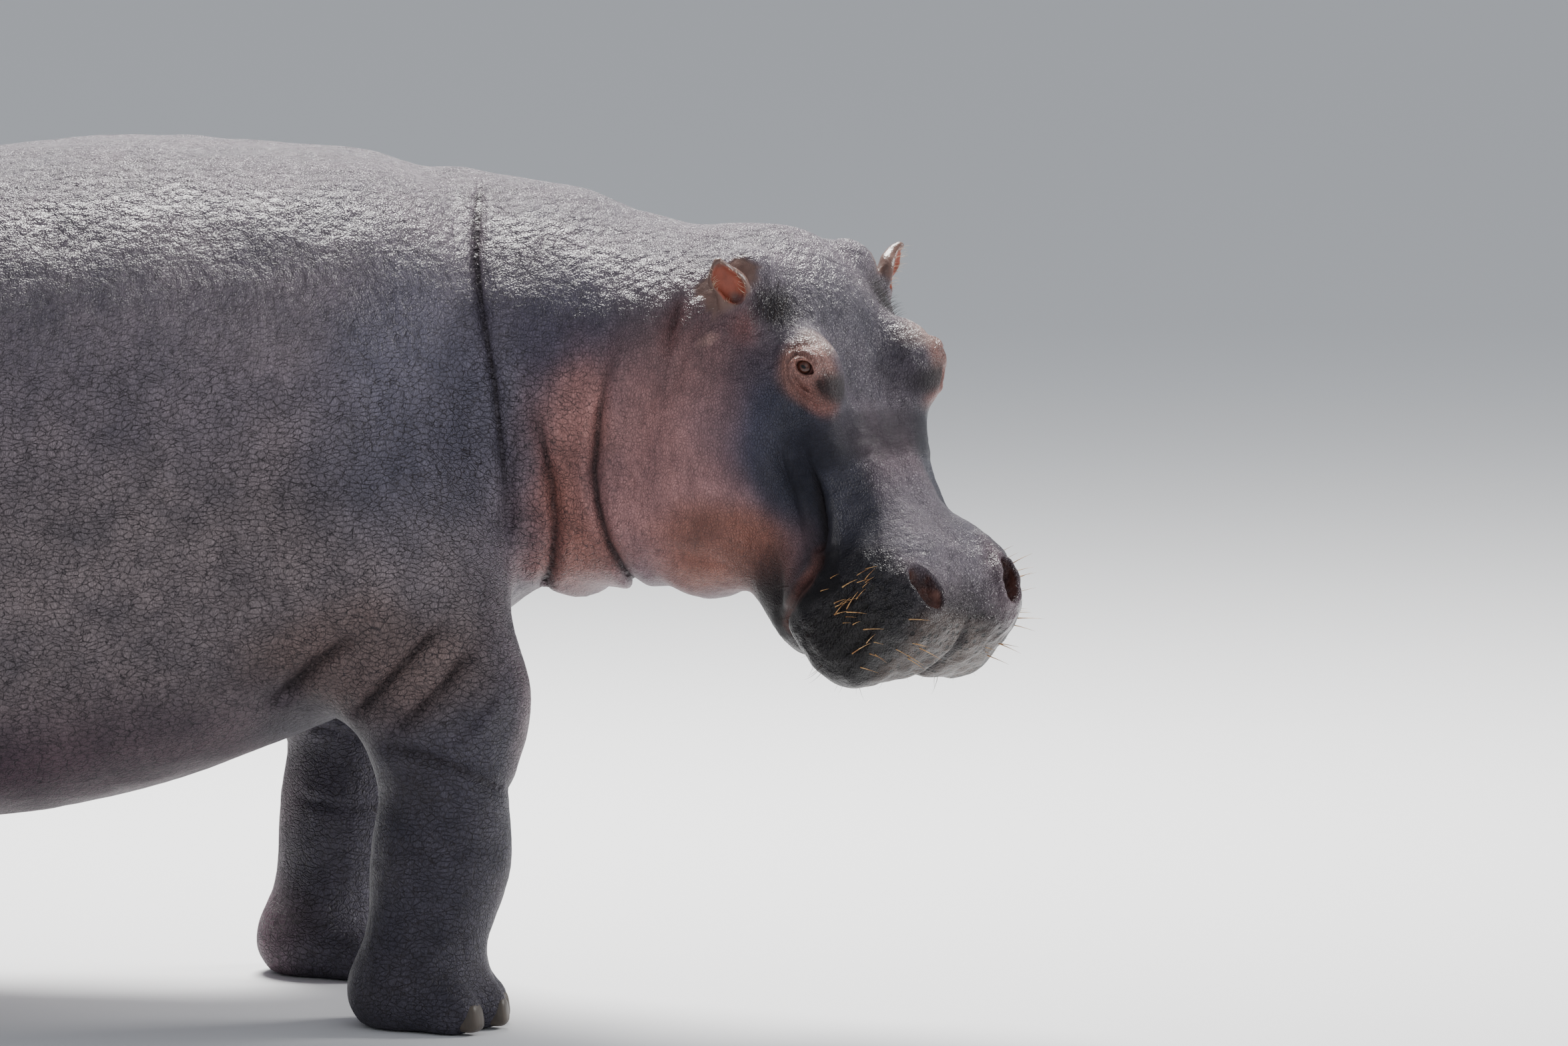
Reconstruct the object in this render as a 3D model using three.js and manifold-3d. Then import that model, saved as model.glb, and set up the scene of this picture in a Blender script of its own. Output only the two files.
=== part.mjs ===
// A hippopotamus standing square on four feet, its head turned to its right and lowered.
// Millimetres. +X is forward along the trunk, +Y is the animal's left, +Z is up, and z = 0 is the floor.
// The body is one smooth form, a blend of rounded muscles and bones, meshed part by part and
// parted at the throat, shoulders, wrists and tail by thin straight cuts.
import * as THREE from 'three';
import { mergeVertices } from 'three/addons/utils/BufferGeometryUtils.js';
import Module from 'manifold-3d';

const wasm = await Module();
wasm.setup();

// ---- Driving dimensions ----
const BACK_HEIGHT = 1378;      // floor to the top of the back
const BELLY_HEIGHT = 302;      // floor to the lowest point of the belly
const BARREL_WIDTH = 1060;     // across the barrel
const BARREL_LENGTH = 1720;    // of the barrel form, without rump and shoulders
const FORE_STANCE = 660;       // between the middles of the two forefeet
const HIND_STANCE = 624;       // between the middles of the two hind feet
const FOOT_LENGTH = 225;       // heel pad, without toes
const EYE_RADIUS = 21;
const EYES_AT = [695, -400, 1083.5];   // point midway between the eyes, origin of the head's own axes
const HEAD_YAW = 45;           // degrees that the muzzle is turned to the animal's right
const HEAD_PITCH = 59;         // degrees that the muzzle drops below level
const STANDS_AT = [568, 51, 0];        // brings the middle of the whole animal's box over the origin
const COVER = 3;               // swelling of the solids that keeps a finished skin inside them
const GAP = 0.4;               // clearance left by each cut

// ---- Forms: each is a function that gives a point's distance to its surface, negative inside ----
const length = (x, y, z) => Math.hypot(x, y, z);
const clamp = (x) => Math.min(Math.max(x, 0), 1);
const radians = THREE.MathUtils.degToRad;

function ease(x, low, high) {
  const t = clamp((x - low) / (high - low));
  return t * t * (3 - 2 * t);
}

function ellipsoid(middle, half, turn = [0, 0, 0], power = 2) {
  const rotation = new THREE.Euler(...turn.map(radians), 'ZYX');
  const back = new THREE.Matrix3().setFromMatrix4(new THREE.Matrix4().makeRotationFromEuler(rotation)).transpose();
  const q = new THREE.Vector3();
  return (p) => {
    q.set(p[0] - middle[0], p[1] - middle[1], p[2] - middle[2]).applyMatrix3(back);
    const [x, y, z] = [q.x / half[0], q.y / half[1], q.z / half[2]];
    const reach = (Math.abs(x) ** power + Math.abs(y) ** power + Math.abs(z) ** power) ** (1 / power);
    const slope = length(x / half[0], y / half[1], z / half[2]);
    return (reach * (reach - 1)) / Math.max(slope, 1e-9);
  };
}

function limb(from, to, radii, wide = 1) {
  const run = to.map((v, i) => v - from[i]);
  const runSquared = run[0] ** 2 + run[1] ** 2 + run[2] ** 2;
  return (p) => {
    const q = p.map((v, i) => v - from[i]);
    const t = clamp((q[0] * run[0] + q[1] * run[1] + q[2] * run[2]) / runSquared);
    const across = length(q[0] - t * run[0], (q[1] - t * run[1]) / wide, q[2] - t * run[2]);
    return across - radii[0] - (radii[1] - radii[0]) * t;
  };
}

// Two forms run into each other with a fillet of size `blend`, a number or a function of the point.
function join(a, b, blend) {
  const sizeAt = typeof blend === 'function' ? blend : () => blend;
  return (p) => {
    const size = sizeAt(p);
    const [da, db] = [a(p), b(p)];
    const h = Math.max(size - Math.abs(da - db), 0) / size;
    return Math.min(da, db) - (h * h * size) / 4;
  };
}

// ---- Head axes: forward along the muzzle, left, and up out of the forehead ----
const yaw = radians(HEAD_YAW);
const pitch = radians(HEAD_PITCH);
const FORWARD = [Math.cos(pitch) * Math.cos(yaw), -Math.cos(pitch) * Math.sin(yaw), -Math.sin(pitch)];
const LEFT = [Math.sin(yaw), Math.cos(yaw), 0];
const UP = [Math.sin(pitch) * Math.cos(yaw), -Math.sin(pitch) * Math.sin(yaw), Math.cos(pitch)];
const dot = (a, b) => a[0] * b[0] + a[1] * b[1] + a[2] * b[2];

function inHead(p) {
  const q = p.map((v, i) => v - EYES_AT[i]);
  return [dot(q, FORWARD), dot(q, LEFT), dot(q, UP)];
}

// The head's forms are given for its left half, in head axes, and mirrored.
const mirrored = (form) => (p) => {
  const [f, l, u] = inHead(p);
  return form([f, Math.abs(l), u]);
};

function headMatrix() {
  const axes = [FORWARD, LEFT, UP].map((v) => new THREE.Vector3(...v));
  return new THREE.Matrix4().makeBasis(...axes).setPosition(...EYES_AT);
}

// ---- Trunk ----
function trunk() {
  const middleHeight = (BACK_HEIGHT + BELLY_HEIGHT) / 2;
  const halfHeight = (BACK_HEIGHT - BELLY_HEIGHT) / 2;
  const halfWidth = BARREL_WIDTH / 2;
  const barrel = ellipsoid([-960, 0, middleHeight], [BARREL_LENGTH / 2, halfWidth, halfHeight], [0, 0, 0], 2.5);
  const rump = ellipsoid([-1510, 0, 885], [465, 450, 470]);
  const shoulders = ellipsoid([-330, 0, 945], [490, 430, 447], [0, 0, 0], 2.8);
  return join(join(barrel, rump, 200), shoulders, 160);
}

// ---- Neck: two deep rolls, folded on the side that the head is turned to ----
const foldedSide = (p, low, high) => (1 - ease(p[2], low, high)) * (1 - ease(p[1], -150, 110));

function neck() {
  const rearRoll = ellipsoid([85, -30, 985], [150, 305, 318], [0, -3, -10]);
  const frontRoll = ellipsoid([215, -85, 985], [105, 265, 318], [0, -2, -22]);
  const nape = limb([0, 0, 1065], [490, -200, 1030], [292, 225]);
  const throat = limb([50, -50, 862], [450, -260, 872], [180, 168]);
  const rolls = join(rearRoll, frontRoll, (p) => 10 + 120 * (1 - foldedSide(p, 920, 1200)));
  return join(join(rolls, throat, 20), nape, 60);
}

// ---- Head ----
function head() {
  const cranium = ellipsoid([-125, 0, -175], [170, 155, 135]);
  const brow = ellipsoid([-30, 0, -120], [140, 145, 75]);
  const bridge = limb([-20, 28, -115], [340, 20, -105], [66, 75]);
  const flank = limb([0, 75, -190], [340, 65, -165], [100, 88]);
  let form = join(join(cranium, brow, 40), join(bridge, flank, 30), 40);

  const box = ellipsoid([373, 0, -125], [115, 178, 120], [0, 0, 0], 2.8);
  const lip = ellipsoid([362, 115, -178], [117, 73, 85]);
  const nostril = ellipsoid([393, 82, -45], [62, 45, 42]);
  form = join(form, join(join(box, lip, 30), nostril, 30), 50);

  const orbit = ellipsoid([-5, 112, -40], [74, 50, 52]);
  const earBase = ellipsoid([-155, 122, -128], [62, 42, 46]);
  const orbitFront = ellipsoid([65, 82, -92], [90, 48, 44]);
  const behindEar = ellipsoid([-202, 116, -74], [32, 28, 24]);
  form = join(join(join(join(form, orbit, 40), orbitFront, 40), earBase, 40), behindEar, 16);

  const jowl = ellipsoid([-15, 100, -288], [250, 155, 175], [0, 25, 0]);
  const jowlBag = ellipsoid([20, 80, -375], [190, 162, 90], [0, 22, 0]);
  const temple = ellipsoid([-30, 115, -150], [120, 80, 85]);
  form = join(form, join(join(jowl, jowlBag, 40), temple, 50), 30);

  const jaw = limb([50, 0, -290], [295, 30, -260], [140, 100], 1.1);
  return mirrored(join(form, jaw, 20));
}

// ---- Legs ----
const TOES = [-1.5, -0.5, 0.5, 1.5].map((k) => ({ side: k * 68, back: 19 * (k * k - 0.25), turn: k * 17 }));
const TOE = { half: [60, 40, 46], forward: 62, height: 38 };

function foot([x, y]) {
  let form = ellipsoid([x - 20, y, 52], [FOOT_LENGTH / 2, 116, 76]);
  for (const { side, back, turn } of TOES) {
    form = join(form, ellipsoid([x + TOE.forward - back, y + side, TOE.height], TOE.half, [0, 0, turn]), 22);
  }
  return form;
}

function foreleg(side, reach) {
  const y = (side * FORE_STANCE) / 2;
  const shoulder = [reach - 135, side * 270, 790];
  const elbow = [reach + 8, y, 520];
  const wrist = [reach - 4, y, 270];
  const upper = limb(shoulder, elbow, [200, 120]);
  const point = ellipsoid([reach - 30, y * 0.97, 585], [125, 115, 150]);
  let form = join(upper, point, 60);
  form = join(form, limb(elbow, wrist, [112, 98]), 70);
  form = join(form, limb(wrist, [reach - 38, y, 90], [98, 98]), 60);
  return join(form, foot([reach - 20, y]), 50);
}

function hindleg(side, reach) {
  const y = (side * HIND_STANCE) / 2;
  const knee = [reach + 50, y, 520];
  const hock = [reach - 80, y, 310];
  const thigh = ellipsoid([reach - 30, side * 250, 740], [290, 195, 360], [0, 12, 0]);
  let form = join(thigh, limb([reach + 30, side * 290, 640], knee, [180, 130]), 80);
  form = join(form, limb(knee, hock, [140, 108]), 60);
  form = join(form, limb(hock, [reach - 60, y, 90], [106, 98]), 50);
  return join(form, foot([reach - 20, y]), 50);
}

const LEGS = {
  right_foreleg: { side: -1, reach: 0, make: foreleg, stance: FORE_STANCE, top: 560 },
  left_foreleg: { side: 1, reach: -165, make: foreleg, stance: FORE_STANCE, top: 560 },
  right_hindleg: { side: -1, reach: -1390, make: hindleg, stance: HIND_STANCE, top: 450 },
  left_hindleg: { side: 1, reach: -1610, make: hindleg, stance: HIND_STANCE, top: 450 },
};

function tail() {
  const root = limb([-1920, 0, 985], [-2010, 0, 800], [72, 46]);
  const tip = limb([-2010, 0, 800], [-2040, 0, 610], [46, 24], 1.3);
  return join(root, tip, 30);
}

function wholeBody() {
  let legs = null;
  for (const { side, reach, make } of Object.values(LEGS)) {
    legs = legs ? join(legs, make(side, reach), 10) : make(side, reach);
  }
  const rear = join(join(trunk(), legs, 90), tail(), 50);
  const withNeck = join(rear, neck(), (p) => 50 - 35 * ease(p[2], 850, 1000));
  const withHead = join(withNeck, head(), (p) => 12 + 100 * (1 - foldedSide(p, 1020, 1200)));
  return (p) => withHead(p) - COVER;
}

// ---- Meshing: one point in each grid cell that the surface crosses, pulled onto the surface ----
function surfaceMesh(form, low, high, step) {
  const count = low.map((v, i) => Math.ceil((high[i] - v) / step) + 3);
  const at = (i, j, k) => (i * count[1] + j) * count[2] + k;
  const place = (i, axis) => low[axis] + (i - 1) * step;
  const boxed = (p) => Math.max(form(p), ...p.map((v, i) => Math.max(low[i] - v, v - high[i])));
  const value = new Float64Array(count[0] * count[1] * count[2]);
  for (let i = 0; i < count[0]; i++) {
    for (let j = 0; j < count[1]; j++) {
      for (let k = 0; k < count[2]; k++) value[at(i, j, k)] = boxed([place(i, 0), place(j, 1), place(k, 2)]);
    }
  }

  const pointOf = new Int32Array(value.length).fill(-1);
  const points = [];
  const corners = [0, 1, 2, 3, 4, 5, 6, 7].map((n) => [n & 1, (n >> 1) & 1, n >> 2]);
  for (let i = 0; i < count[0] - 1; i++) {
    for (let j = 0; j < count[1] - 1; j++) {
      for (let k = 0; k < count[2] - 1; k++) {
        const v = corners.map(([a, b, c]) => value[at(i + a, j + b, k + c)]);
        const inside = v.filter((d) => d < 0).length;
        if (inside === 0 || inside === 8) continue;
        const sum = [0, 0, 0];
        let crossings = 0;
        for (let n = 0; n < 8; n++) {
          for (let axis = 0; axis < 3; axis++) {
            const m = n | (1 << axis);
            if (m === n || (v[n] < 0) === (v[m] < 0)) continue;
            const t = v[n] / (v[n] - v[m]);
            const c = corners[n].slice();
            c[axis] = t;
            for (let a = 0; a < 3; a++) sum[a] += c[a];
            crossings++;
          }
        }
        pointOf[at(i, j, k)] = points.length;
        points.push([i, j, k].map((g, a) => place(g + sum[a] / crossings, a)));
      }
    }
  }

  const triangles = [];
  for (let axis = 0; axis < 3; axis++) {
    const [u, w] = [(axis + 1) % 3, (axis + 2) % 3];
    const stepOf = [at(1, 0, 0), at(0, 1, 0), 1];
    for (let i = 1; i < count[0] - 1; i++) {
      for (let j = 1; j < count[1] - 1; j++) {
        for (let k = 1; k < count[2] - 1; k++) {
          const n = at(i, j, k);
          if ((value[n] < 0) === (value[n + stepOf[axis]] < 0)) continue;
          const [a, b, c, d] = [n - stepOf[u] - stepOf[w], n - stepOf[w], n, n - stepOf[u]].map((m) => pointOf[m]);
          if (value[n] < 0) triangles.push(a, b, c, a, c, d);
          else triangles.push(a, c, b, a, d, c);
        }
      }
    }
  }

  const nudge = 2;
  const inBox = (p) => p.every((v, i) => v > low[i] + step / 2 && v < high[i] - step / 2);
  for (const p of points) {
    for (let round = 0; round < 2 && inBox(p); round++) {
      const d = form(p);
      const slope = p.map((v, i) => {
        const q = p.slice();
        q[i] = v + nudge;
        return (form(q) - d) / nudge;
      });
      const move = Math.min(Math.max(-d / Math.max(dot(slope, slope), 0.1), -step / 3), step / 3);
      for (let a = 0; a < 3; a++) p[a] += move * slope[a];
    }
  }
  return solid(points.flat(), triangles);
}

function solid(positions, triangles) {
  const vertProperties = new Float32Array(positions);
  const triVerts = new Uint32Array(triangles);
  return new wasm.Manifold(new wasm.Mesh({ numProp: 3, vertProperties, triVerts }));
}

function solidOf(geometry, matrix = new THREE.Matrix4()) {
  const bare = geometry.applyMatrix4(matrix);
  bare.deleteAttribute('normal');
  bare.deleteAttribute('uv');
  const merged = mergeVertices(bare, 0.01);
  return solid(merged.attributes.position.array, merged.index.array);
}

// ---- Cutting cells: boxes with their faces on the cuts, shrunk or grown by half a gap ----
const FAR = 3000;

function cell(low, high, grow, matrix) {
  const size = high.map((v, i) => v - low[i] + 2 * grow);
  const box = new THREE.BoxGeometry(...size).translate(...high.map((v, i) => (v + low[i]) / 2));
  return solidOf(box, matrix);
}

// In front of the shoulders and above the forelegs are neck and head; the head's cell is turned with the neck.
const neckCell = (grow) => cell([75, -FAR, 655], [FAR, FAR, FAR], grow);
const headCell = (grow) => {
  const turned = new THREE.Matrix4().makeRotationZ(radians(-25));
  return cell([360, -FAR, -FAR], [FAR, FAR, FAR], grow, turned);
};
const jawCell = (grow) => {
  const tilt = new THREE.Matrix4().makeRotationY(radians(27.7)).setPosition(340, 0, -217);
  return cell([-160, -FAR, -300], [300, FAR, 0], grow, headMatrix().multiply(tilt));
};
const ANKLE = 118;
const legCell = ({ side, reach, top }, grow) => {
  const [inner, outer] = [side * 120, side * 560].sort((a, b) => a - b);
  return cell([reach - 250, inner, ANKLE], [reach + 240, outer, top], grow);
};
const footCell = ({ side, reach }, grow) => {
  const [inner, outer] = [side * 120, side * 560].sort((a, b) => a - b);
  return cell([reach - 300, inner, -FAR], [reach + 300, outer, ANKLE], grow);
};
const tailCell = (grow) => cell([-FAR, -120, 300], [-1962, 120, 1060], grow);

// ---- Pieces ----
const body = wholeBody();
const nailMaterial = new THREE.MeshStandardMaterial({ color: 0x4a413c, roughness: 0.6 });
const skinMaterial = (color) => new THREE.MeshStandardMaterial({ color, roughness: 0.45, metalness: 0 });
const SLATE = 0x6b6470;
const MAUVE = 0x7a6a70;
const PINK = 0xa07470;
const animal = new THREE.Group();
animal.position.set(...STANDS_AT);

function add(name, shape, material) {
  const mesh = shape.getMesh();
  const geometry = new THREE.BufferGeometry();
  geometry.setAttribute('position', new THREE.BufferAttribute(mesh.vertProperties, 3));
  geometry.setIndex(new THREE.BufferAttribute(mesh.triVerts, 1));
  geometry.computeVertexNormals();
  const piece = new THREE.Mesh(geometry, material);
  piece.name = name;
  animal.add(piece);
}

// A cut can leave crumbs beside the piece; the piece is the largest body.
function largest(shape) {
  return shape.decompose().sort((a, b) => b.volume() - a.volume())[0];
}

// Eyes: balls in sockets that open through the lids.
const EYE = { middle: [-6, 138, -20], segments: [9, 7] };

function eyeball(radius, side) {
  const [f, l, u] = EYE.middle;
  return solidOf(new THREE.SphereGeometry(radius, ...EYE.segments).translate(f, side * l, u), headMatrix());
}

// Ears: small cups on the back corners of the head, open to the front and side.
const EAR = { root: [-150, 150, -85], stem: [-0.70, 0.68, 0.30], opening: [0.70, 0.45, 0.45] };
EAR.outer = { middle: [0, 0, 46], half: [30, 19, 52] };
EAR.hollow = { middle: [0, 12, 50], half: [24, 18, 43] };

function ear(side) {
  const stem = new THREE.Vector3(EAR.stem[0], side * EAR.stem[1], EAR.stem[2]).normalize();
  const across = new THREE.Vector3(EAR.opening[0], side * EAR.opening[1], EAR.opening[2]).cross(stem).normalize();
  const opening = new THREE.Vector3().crossVectors(stem, across);
  const place = new THREE.Matrix4().makeBasis(across, opening, stem);
  place.setPosition(EAR.root[0], side * EAR.root[1], EAR.root[2]);
  const egg = ({ middle, half }) => {
    const ball = new THREE.SphereGeometry(1, 10, 7).rotateX(Math.PI / 2).scale(...half).translate(...middle);
    return solidOf(ball, headMatrix().multiply(place));
  };
  return egg(EAR.outer).subtract(egg(EAR.hollow));
}

// Nails: blunt shields on the front of each toe, wider at the tip.
const NAIL = { half: [20, 26], height: 48, lift: 5, forward: 45 };

function nail(footMiddle, { side, back, turn }, grow) {
  const shield = new THREE.CylinderGeometry(0.78, 1, NAIL.height + 2 * grow, 8).rotateX(Math.PI / 2);
  shield.scale(NAIL.half[0] + grow, NAIL.half[1] + grow, 1).rotateZ(radians(turn));
  const x = footMiddle[0] + TOE.forward - back + NAIL.forward * Math.cos(radians(turn));
  const y = footMiddle[1] + side + NAIL.forward * Math.sin(radians(turn));
  return solidOf(shield.translate(x, y, NAIL.lift + NAIL.height / 2));
}

// ---- Assembly ----
const HALF_GAP = GAP / 2;
const legCells = Object.values(LEGS).flatMap((leg) => [legCell(leg, HALF_GAP), footCell(leg, HALF_GAP)]);

let trunkShape = surfaceMesh(body, [-2200, -620, 100], [260, 620, 1500], 128);
for (const other of [neckCell(HALF_GAP), tailCell(HALF_GAP), ...legCells]) trunkShape = trunkShape.subtract(other);
add('trunk', largest(trunkShape), skinMaterial(SLATE));

const neckShape = surfaceMesh(body, [10, -620, 560], [620, 480, 1480], 68);
add('neck', largest(neckShape.intersect(neckCell(-HALF_GAP)).subtract(headCell(HALF_GAP))), skinMaterial(MAUVE));

const wholeHead = largest(surfaceMesh(body, [150, -960, 460], [1150, 300, 1440], 43).intersect(headCell(-HALF_GAP)));
let headShape = wholeHead.subtract(jawCell(HALF_GAP));
for (const side of [-1, 1]) headShape = headShape.subtract(eyeball(EYE_RADIUS + GAP, side));
add('head', largest(headShape), skinMaterial(MAUVE));
add('lower_jaw', largest(wholeHead.intersect(jawCell(-HALF_GAP))), skinMaterial(SLATE));

for (const [name, side] of [['right', -1], ['left', 1]]) {
  add(`${name}_eye`, eyeball(EYE_RADIUS, side), new THREE.MeshStandardMaterial({ color: 0x2b1a12, roughness: 0.1 }));
  const clear = UP.map((v) => v * GAP);
  add(`${name}_ear`, largest(ear(side).subtract(wholeHead)).translate(clear), skinMaterial(PINK));
}

for (const [name, leg] of Object.entries(LEGS)) {
  const [inner, outer] = [leg.side * 100, leg.side * 560].sort((a, b) => a - b);
  const [rear, front] = [leg.reach - 300, leg.reach + 300];
  const legShape = surfaceMesh(body, [rear, inner, 40], [front, outer, leg.top + 60], 70);
  add(name, largest(legShape.intersect(legCell(leg, -HALF_GAP))), skinMaterial(SLATE));

  const footMiddle = [leg.reach - 20, (leg.side * leg.stance) / 2];
  const footName = name.replace('leg', 'foot');
  let footShape = surfaceMesh(body, [rear, inner, -80], [front, outer, ANKLE + 50], 50.5);
  footShape = footShape.intersect(footCell(leg, -HALF_GAP)).trimByPlane([0, 0, 1], 0);
  TOES.forEach((toe, i) => {
    footShape = footShape.subtract(nail(footMiddle, toe, GAP));
    add(`${footName}_nail_${i + 1}`, nail(footMiddle, toe, 0), nailMaterial);
  });
  add(footName, largest(footShape), skinMaterial(SLATE));
}

add('tail', largest(surfaceMesh(body, [-2200, -200, 500], [-1880, 200, 1150], 48).intersect(tailCell(-HALF_GAP))),
  skinMaterial(SLATE));

export default animal;
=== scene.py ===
from math import cos, pi, radians, sin

import bmesh
import bpy
import numpy as np
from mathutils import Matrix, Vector, noise


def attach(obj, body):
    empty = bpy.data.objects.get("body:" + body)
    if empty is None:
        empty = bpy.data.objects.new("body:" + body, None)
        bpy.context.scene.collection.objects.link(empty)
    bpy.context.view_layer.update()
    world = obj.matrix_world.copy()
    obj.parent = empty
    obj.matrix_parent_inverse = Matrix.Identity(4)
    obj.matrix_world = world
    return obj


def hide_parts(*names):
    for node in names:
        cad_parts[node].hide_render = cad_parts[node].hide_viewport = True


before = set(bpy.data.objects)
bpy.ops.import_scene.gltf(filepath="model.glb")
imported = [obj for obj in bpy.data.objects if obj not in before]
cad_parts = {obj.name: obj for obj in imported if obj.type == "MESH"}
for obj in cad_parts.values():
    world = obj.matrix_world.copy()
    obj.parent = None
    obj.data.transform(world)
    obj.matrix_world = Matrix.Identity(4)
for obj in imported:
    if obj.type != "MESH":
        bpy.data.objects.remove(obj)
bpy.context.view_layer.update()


# ---- Camera ----
# A long lens set low and square to the trunk, so that the near side is seen almost without perspective.
# The frame cuts the animal behind the shoulders and leaves room in front of the muzzle.
CAMERA_DISTANCE = 28
CAMERA_RISE = radians(6)
FRAME_WIDTH = 2.545
looks_at = Vector((1.115, 0.051, 0.778))

camera_data = bpy.data.cameras.new("camera")
camera_data.sensor_width = 36
camera_data.lens = 36 * CAMERA_DISTANCE / FRAME_WIDTH
camera_data.clip_end = 200
camera = bpy.data.objects.new("camera", camera_data)
towards_camera = Vector((0, -cos(CAMERA_RISE), sin(CAMERA_RISE)))
camera.location = looks_at + CAMERA_DISTANCE * towards_camera
camera.rotation_euler = (-towards_camera).to_track_quat("-Z", "Y").to_euler()
bpy.context.scene.collection.objects.link(camera)
bpy.context.scene.camera = camera


# ---- Skin: the body's form ----
# One thick, nearly hairless hide over barrel, neck, head and legs, made as a single closed surface.
# The form is a blend of rounded masses, in millimetres on the trunk's own axes, with the floor at 0.
STANDS_AT = np.array([568.0, 51.0, 0.0])


def ease(x, low, high):
    t = np.clip((x - low) / (high - low), 0, 1)
    return t * t * (3 - 2 * t)


def unit(v):
    return v / np.maximum(np.linalg.norm(v, axis=-1, keepdims=True), 1e-9)


def turning(turn):
    ax, ay, az = (radians(t) for t in turn)
    about_x = np.array([[1, 0, 0], [0, cos(ax), -sin(ax)], [0, sin(ax), cos(ax)]])
    about_y = np.array([[cos(ay), 0, sin(ay)], [0, 1, 0], [-sin(ay), 0, cos(ay)]])
    about_z = np.array([[cos(az), -sin(az), 0], [sin(az), cos(az), 0], [0, 0, 1]])
    return about_z @ about_y @ about_x


def ellipsoid(middle, half, turn=(0, 0, 0), power=2):
    middle, half, rotation = np.array(middle), np.array(half), turning(turn)

    def form(p):
        q = (p - middle) @ rotation / half
        reach = (np.abs(q) ** power).sum(1) ** (1 / power) if power != 2 else np.sqrt((q * q).sum(1))
        return reach * (reach - 1) / np.maximum(np.sqrt(((q / half) ** 2).sum(1)), 1e-9)

    return form


def limb(start, end, radii, wide=1):
    start, run = np.array(start), np.array(end) - np.array(start)

    def form(p):
        q = p - start
        t = np.clip(q @ run / (run @ run), 0, 1)
        across = (q - t[:, None] * run) / np.array([1, wide, 1])
        return np.sqrt((across * across).sum(1)) - radii[0] - (radii[1] - radii[0]) * t

    return form


def blended(a, b, size):
    """The nearer of two surfaces, with the corner between them rounded over the given size."""
    share = np.maximum(size - np.abs(a - b), 0) / size
    return np.minimum(a, b) - share * share * size / 4


def join(a, b, blend):
    return lambda p: blended(a(p), b(p), blend(p) if callable(blend) else blend)


def near(p, middle, reach):
    return np.linalg.norm(p - np.array(middle), axis=1) < reach


def within(form, low, high):
    """The form, worked out only inside a box that holds it with room to spare."""
    low, high = np.array(low), np.array(high)

    def boxed(p):
        outside = np.sqrt((np.maximum(np.maximum(low - p, p - high), 0) ** 2).sum(1))
        inside = outside == 0
        distance = outside + 200
        distance[inside] = form(p[inside])
        return distance

    return boxed


# Trunk: a barrel with a rounded rump and heavy shoulders.
barrel = ellipsoid((-960, 0, 840), (860, 530, 538), power=2.5)
rump = ellipsoid((-1510, 0, 885), (465, 450, 470))
shoulders = ellipsoid((-330, 0, 945), (490, 430, 447), power=2.8)
trunk = join(join(barrel, rump, 200), shoulders, 160)


# Neck: two deep rolls that fold on the side to which the head is turned.
def folded(p, low, high):
    return (1 - ease(p[:, 2], low, high)) * (1 - ease(p[:, 1], -150, 110))


rear_roll = ellipsoid((85, -30, 985), (150, 305, 318), (0, -3, -10))
front_roll = ellipsoid((215, -85, 985), (105, 265, 318), (0, -2, -22))
neck_rolls = join(rear_roll, front_roll, lambda p: 10 + 120 * (1 - folded(p, 920, 1200)))
throat = limb((50, -50, 862), (450, -260, 872), (180, 168))
nape = limb((0, 0, 1065), (490, -200, 1030), (292, 225))
neck = join(join(neck_rolls, throat, 20), nape, 60)

# Head: its own axes run forward along the muzzle, to its left and up out of the forehead, from a
# point between the eyes. The forms of its left half are mirrored.
EYES_AT = np.array([695, -400, 1083.5])
head_yaw, head_pitch = radians(45), radians(59)
FORWARD = np.array([cos(head_pitch) * cos(head_yaw), -cos(head_pitch) * sin(head_yaw), -sin(head_pitch)])
LEFT = np.array([sin(head_yaw), cos(head_yaw), 0])
UP = np.array([sin(head_pitch) * cos(head_yaw), -sin(head_pitch) * sin(head_yaw), cos(head_pitch)])
head_axes = np.stack([FORWARD, LEFT, UP])


def in_head(p):
    return (p - EYES_AT) @ head_axes.T


def from_head(h):
    return EYES_AT + np.asarray(h) @ head_axes


def in_half_head(p):
    h = in_head(p)
    h[:, 1] = np.abs(h[:, 1])
    return h


cranium = ellipsoid((-125, 0, -175), (170, 155, 135))
brow = ellipsoid((-30, 0, -120), (140, 145, 75))
bridge = limb((-20, 28, -115), (340, 20, -105), (66, 75))
bridge_side = limb((0, 75, -190), (340, 65, -165), (100, 88))
muzzle_box = ellipsoid((373, 0, -125), (115, 178, 120), power=2.8)
lip = ellipsoid((362, 115, -178), (117, 73, 85))
nostril_mound = ellipsoid((393, 82, -45), (62, 45, 42))
orbit = ellipsoid((-5, 112, -40), (74, 50, 52))
ear_base = ellipsoid((-155, 122, -128), (62, 42, 46))
jowl = ellipsoid((-15, 100, -288), (250, 155, 175), (0, 25, 0))
jowl_bag = ellipsoid((20, 80, -375), (190, 162, 90), (0, 22, 0))
temple = ellipsoid((-30, 115, -150), (120, 80, 85))
orbit_front = ellipsoid((65, 82, -92), (90, 48, 44))
jaw = limb((50, 0, -290), (295, 30, -260), (140, 100), 1.1)

muzzle = join(join(muzzle_box, lip, 30), nostril_mound, 30)
upper_head = join(join(join(cranium, brow, 40), join(bridge, bridge_side, 30), 40), muzzle, 50)
upper_head = join(join(join(upper_head, orbit, 40), orbit_front, 40), ear_base, 40)
cheek = join(join(jowl, jowl_bag, 40), temple, 50)
behind_ear = ellipsoid((-202, 116, -74), (32, 28, 24))
half_head = join(join(join(upper_head, behind_ear, 16), cheek, 30), jaw, 20)

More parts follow.
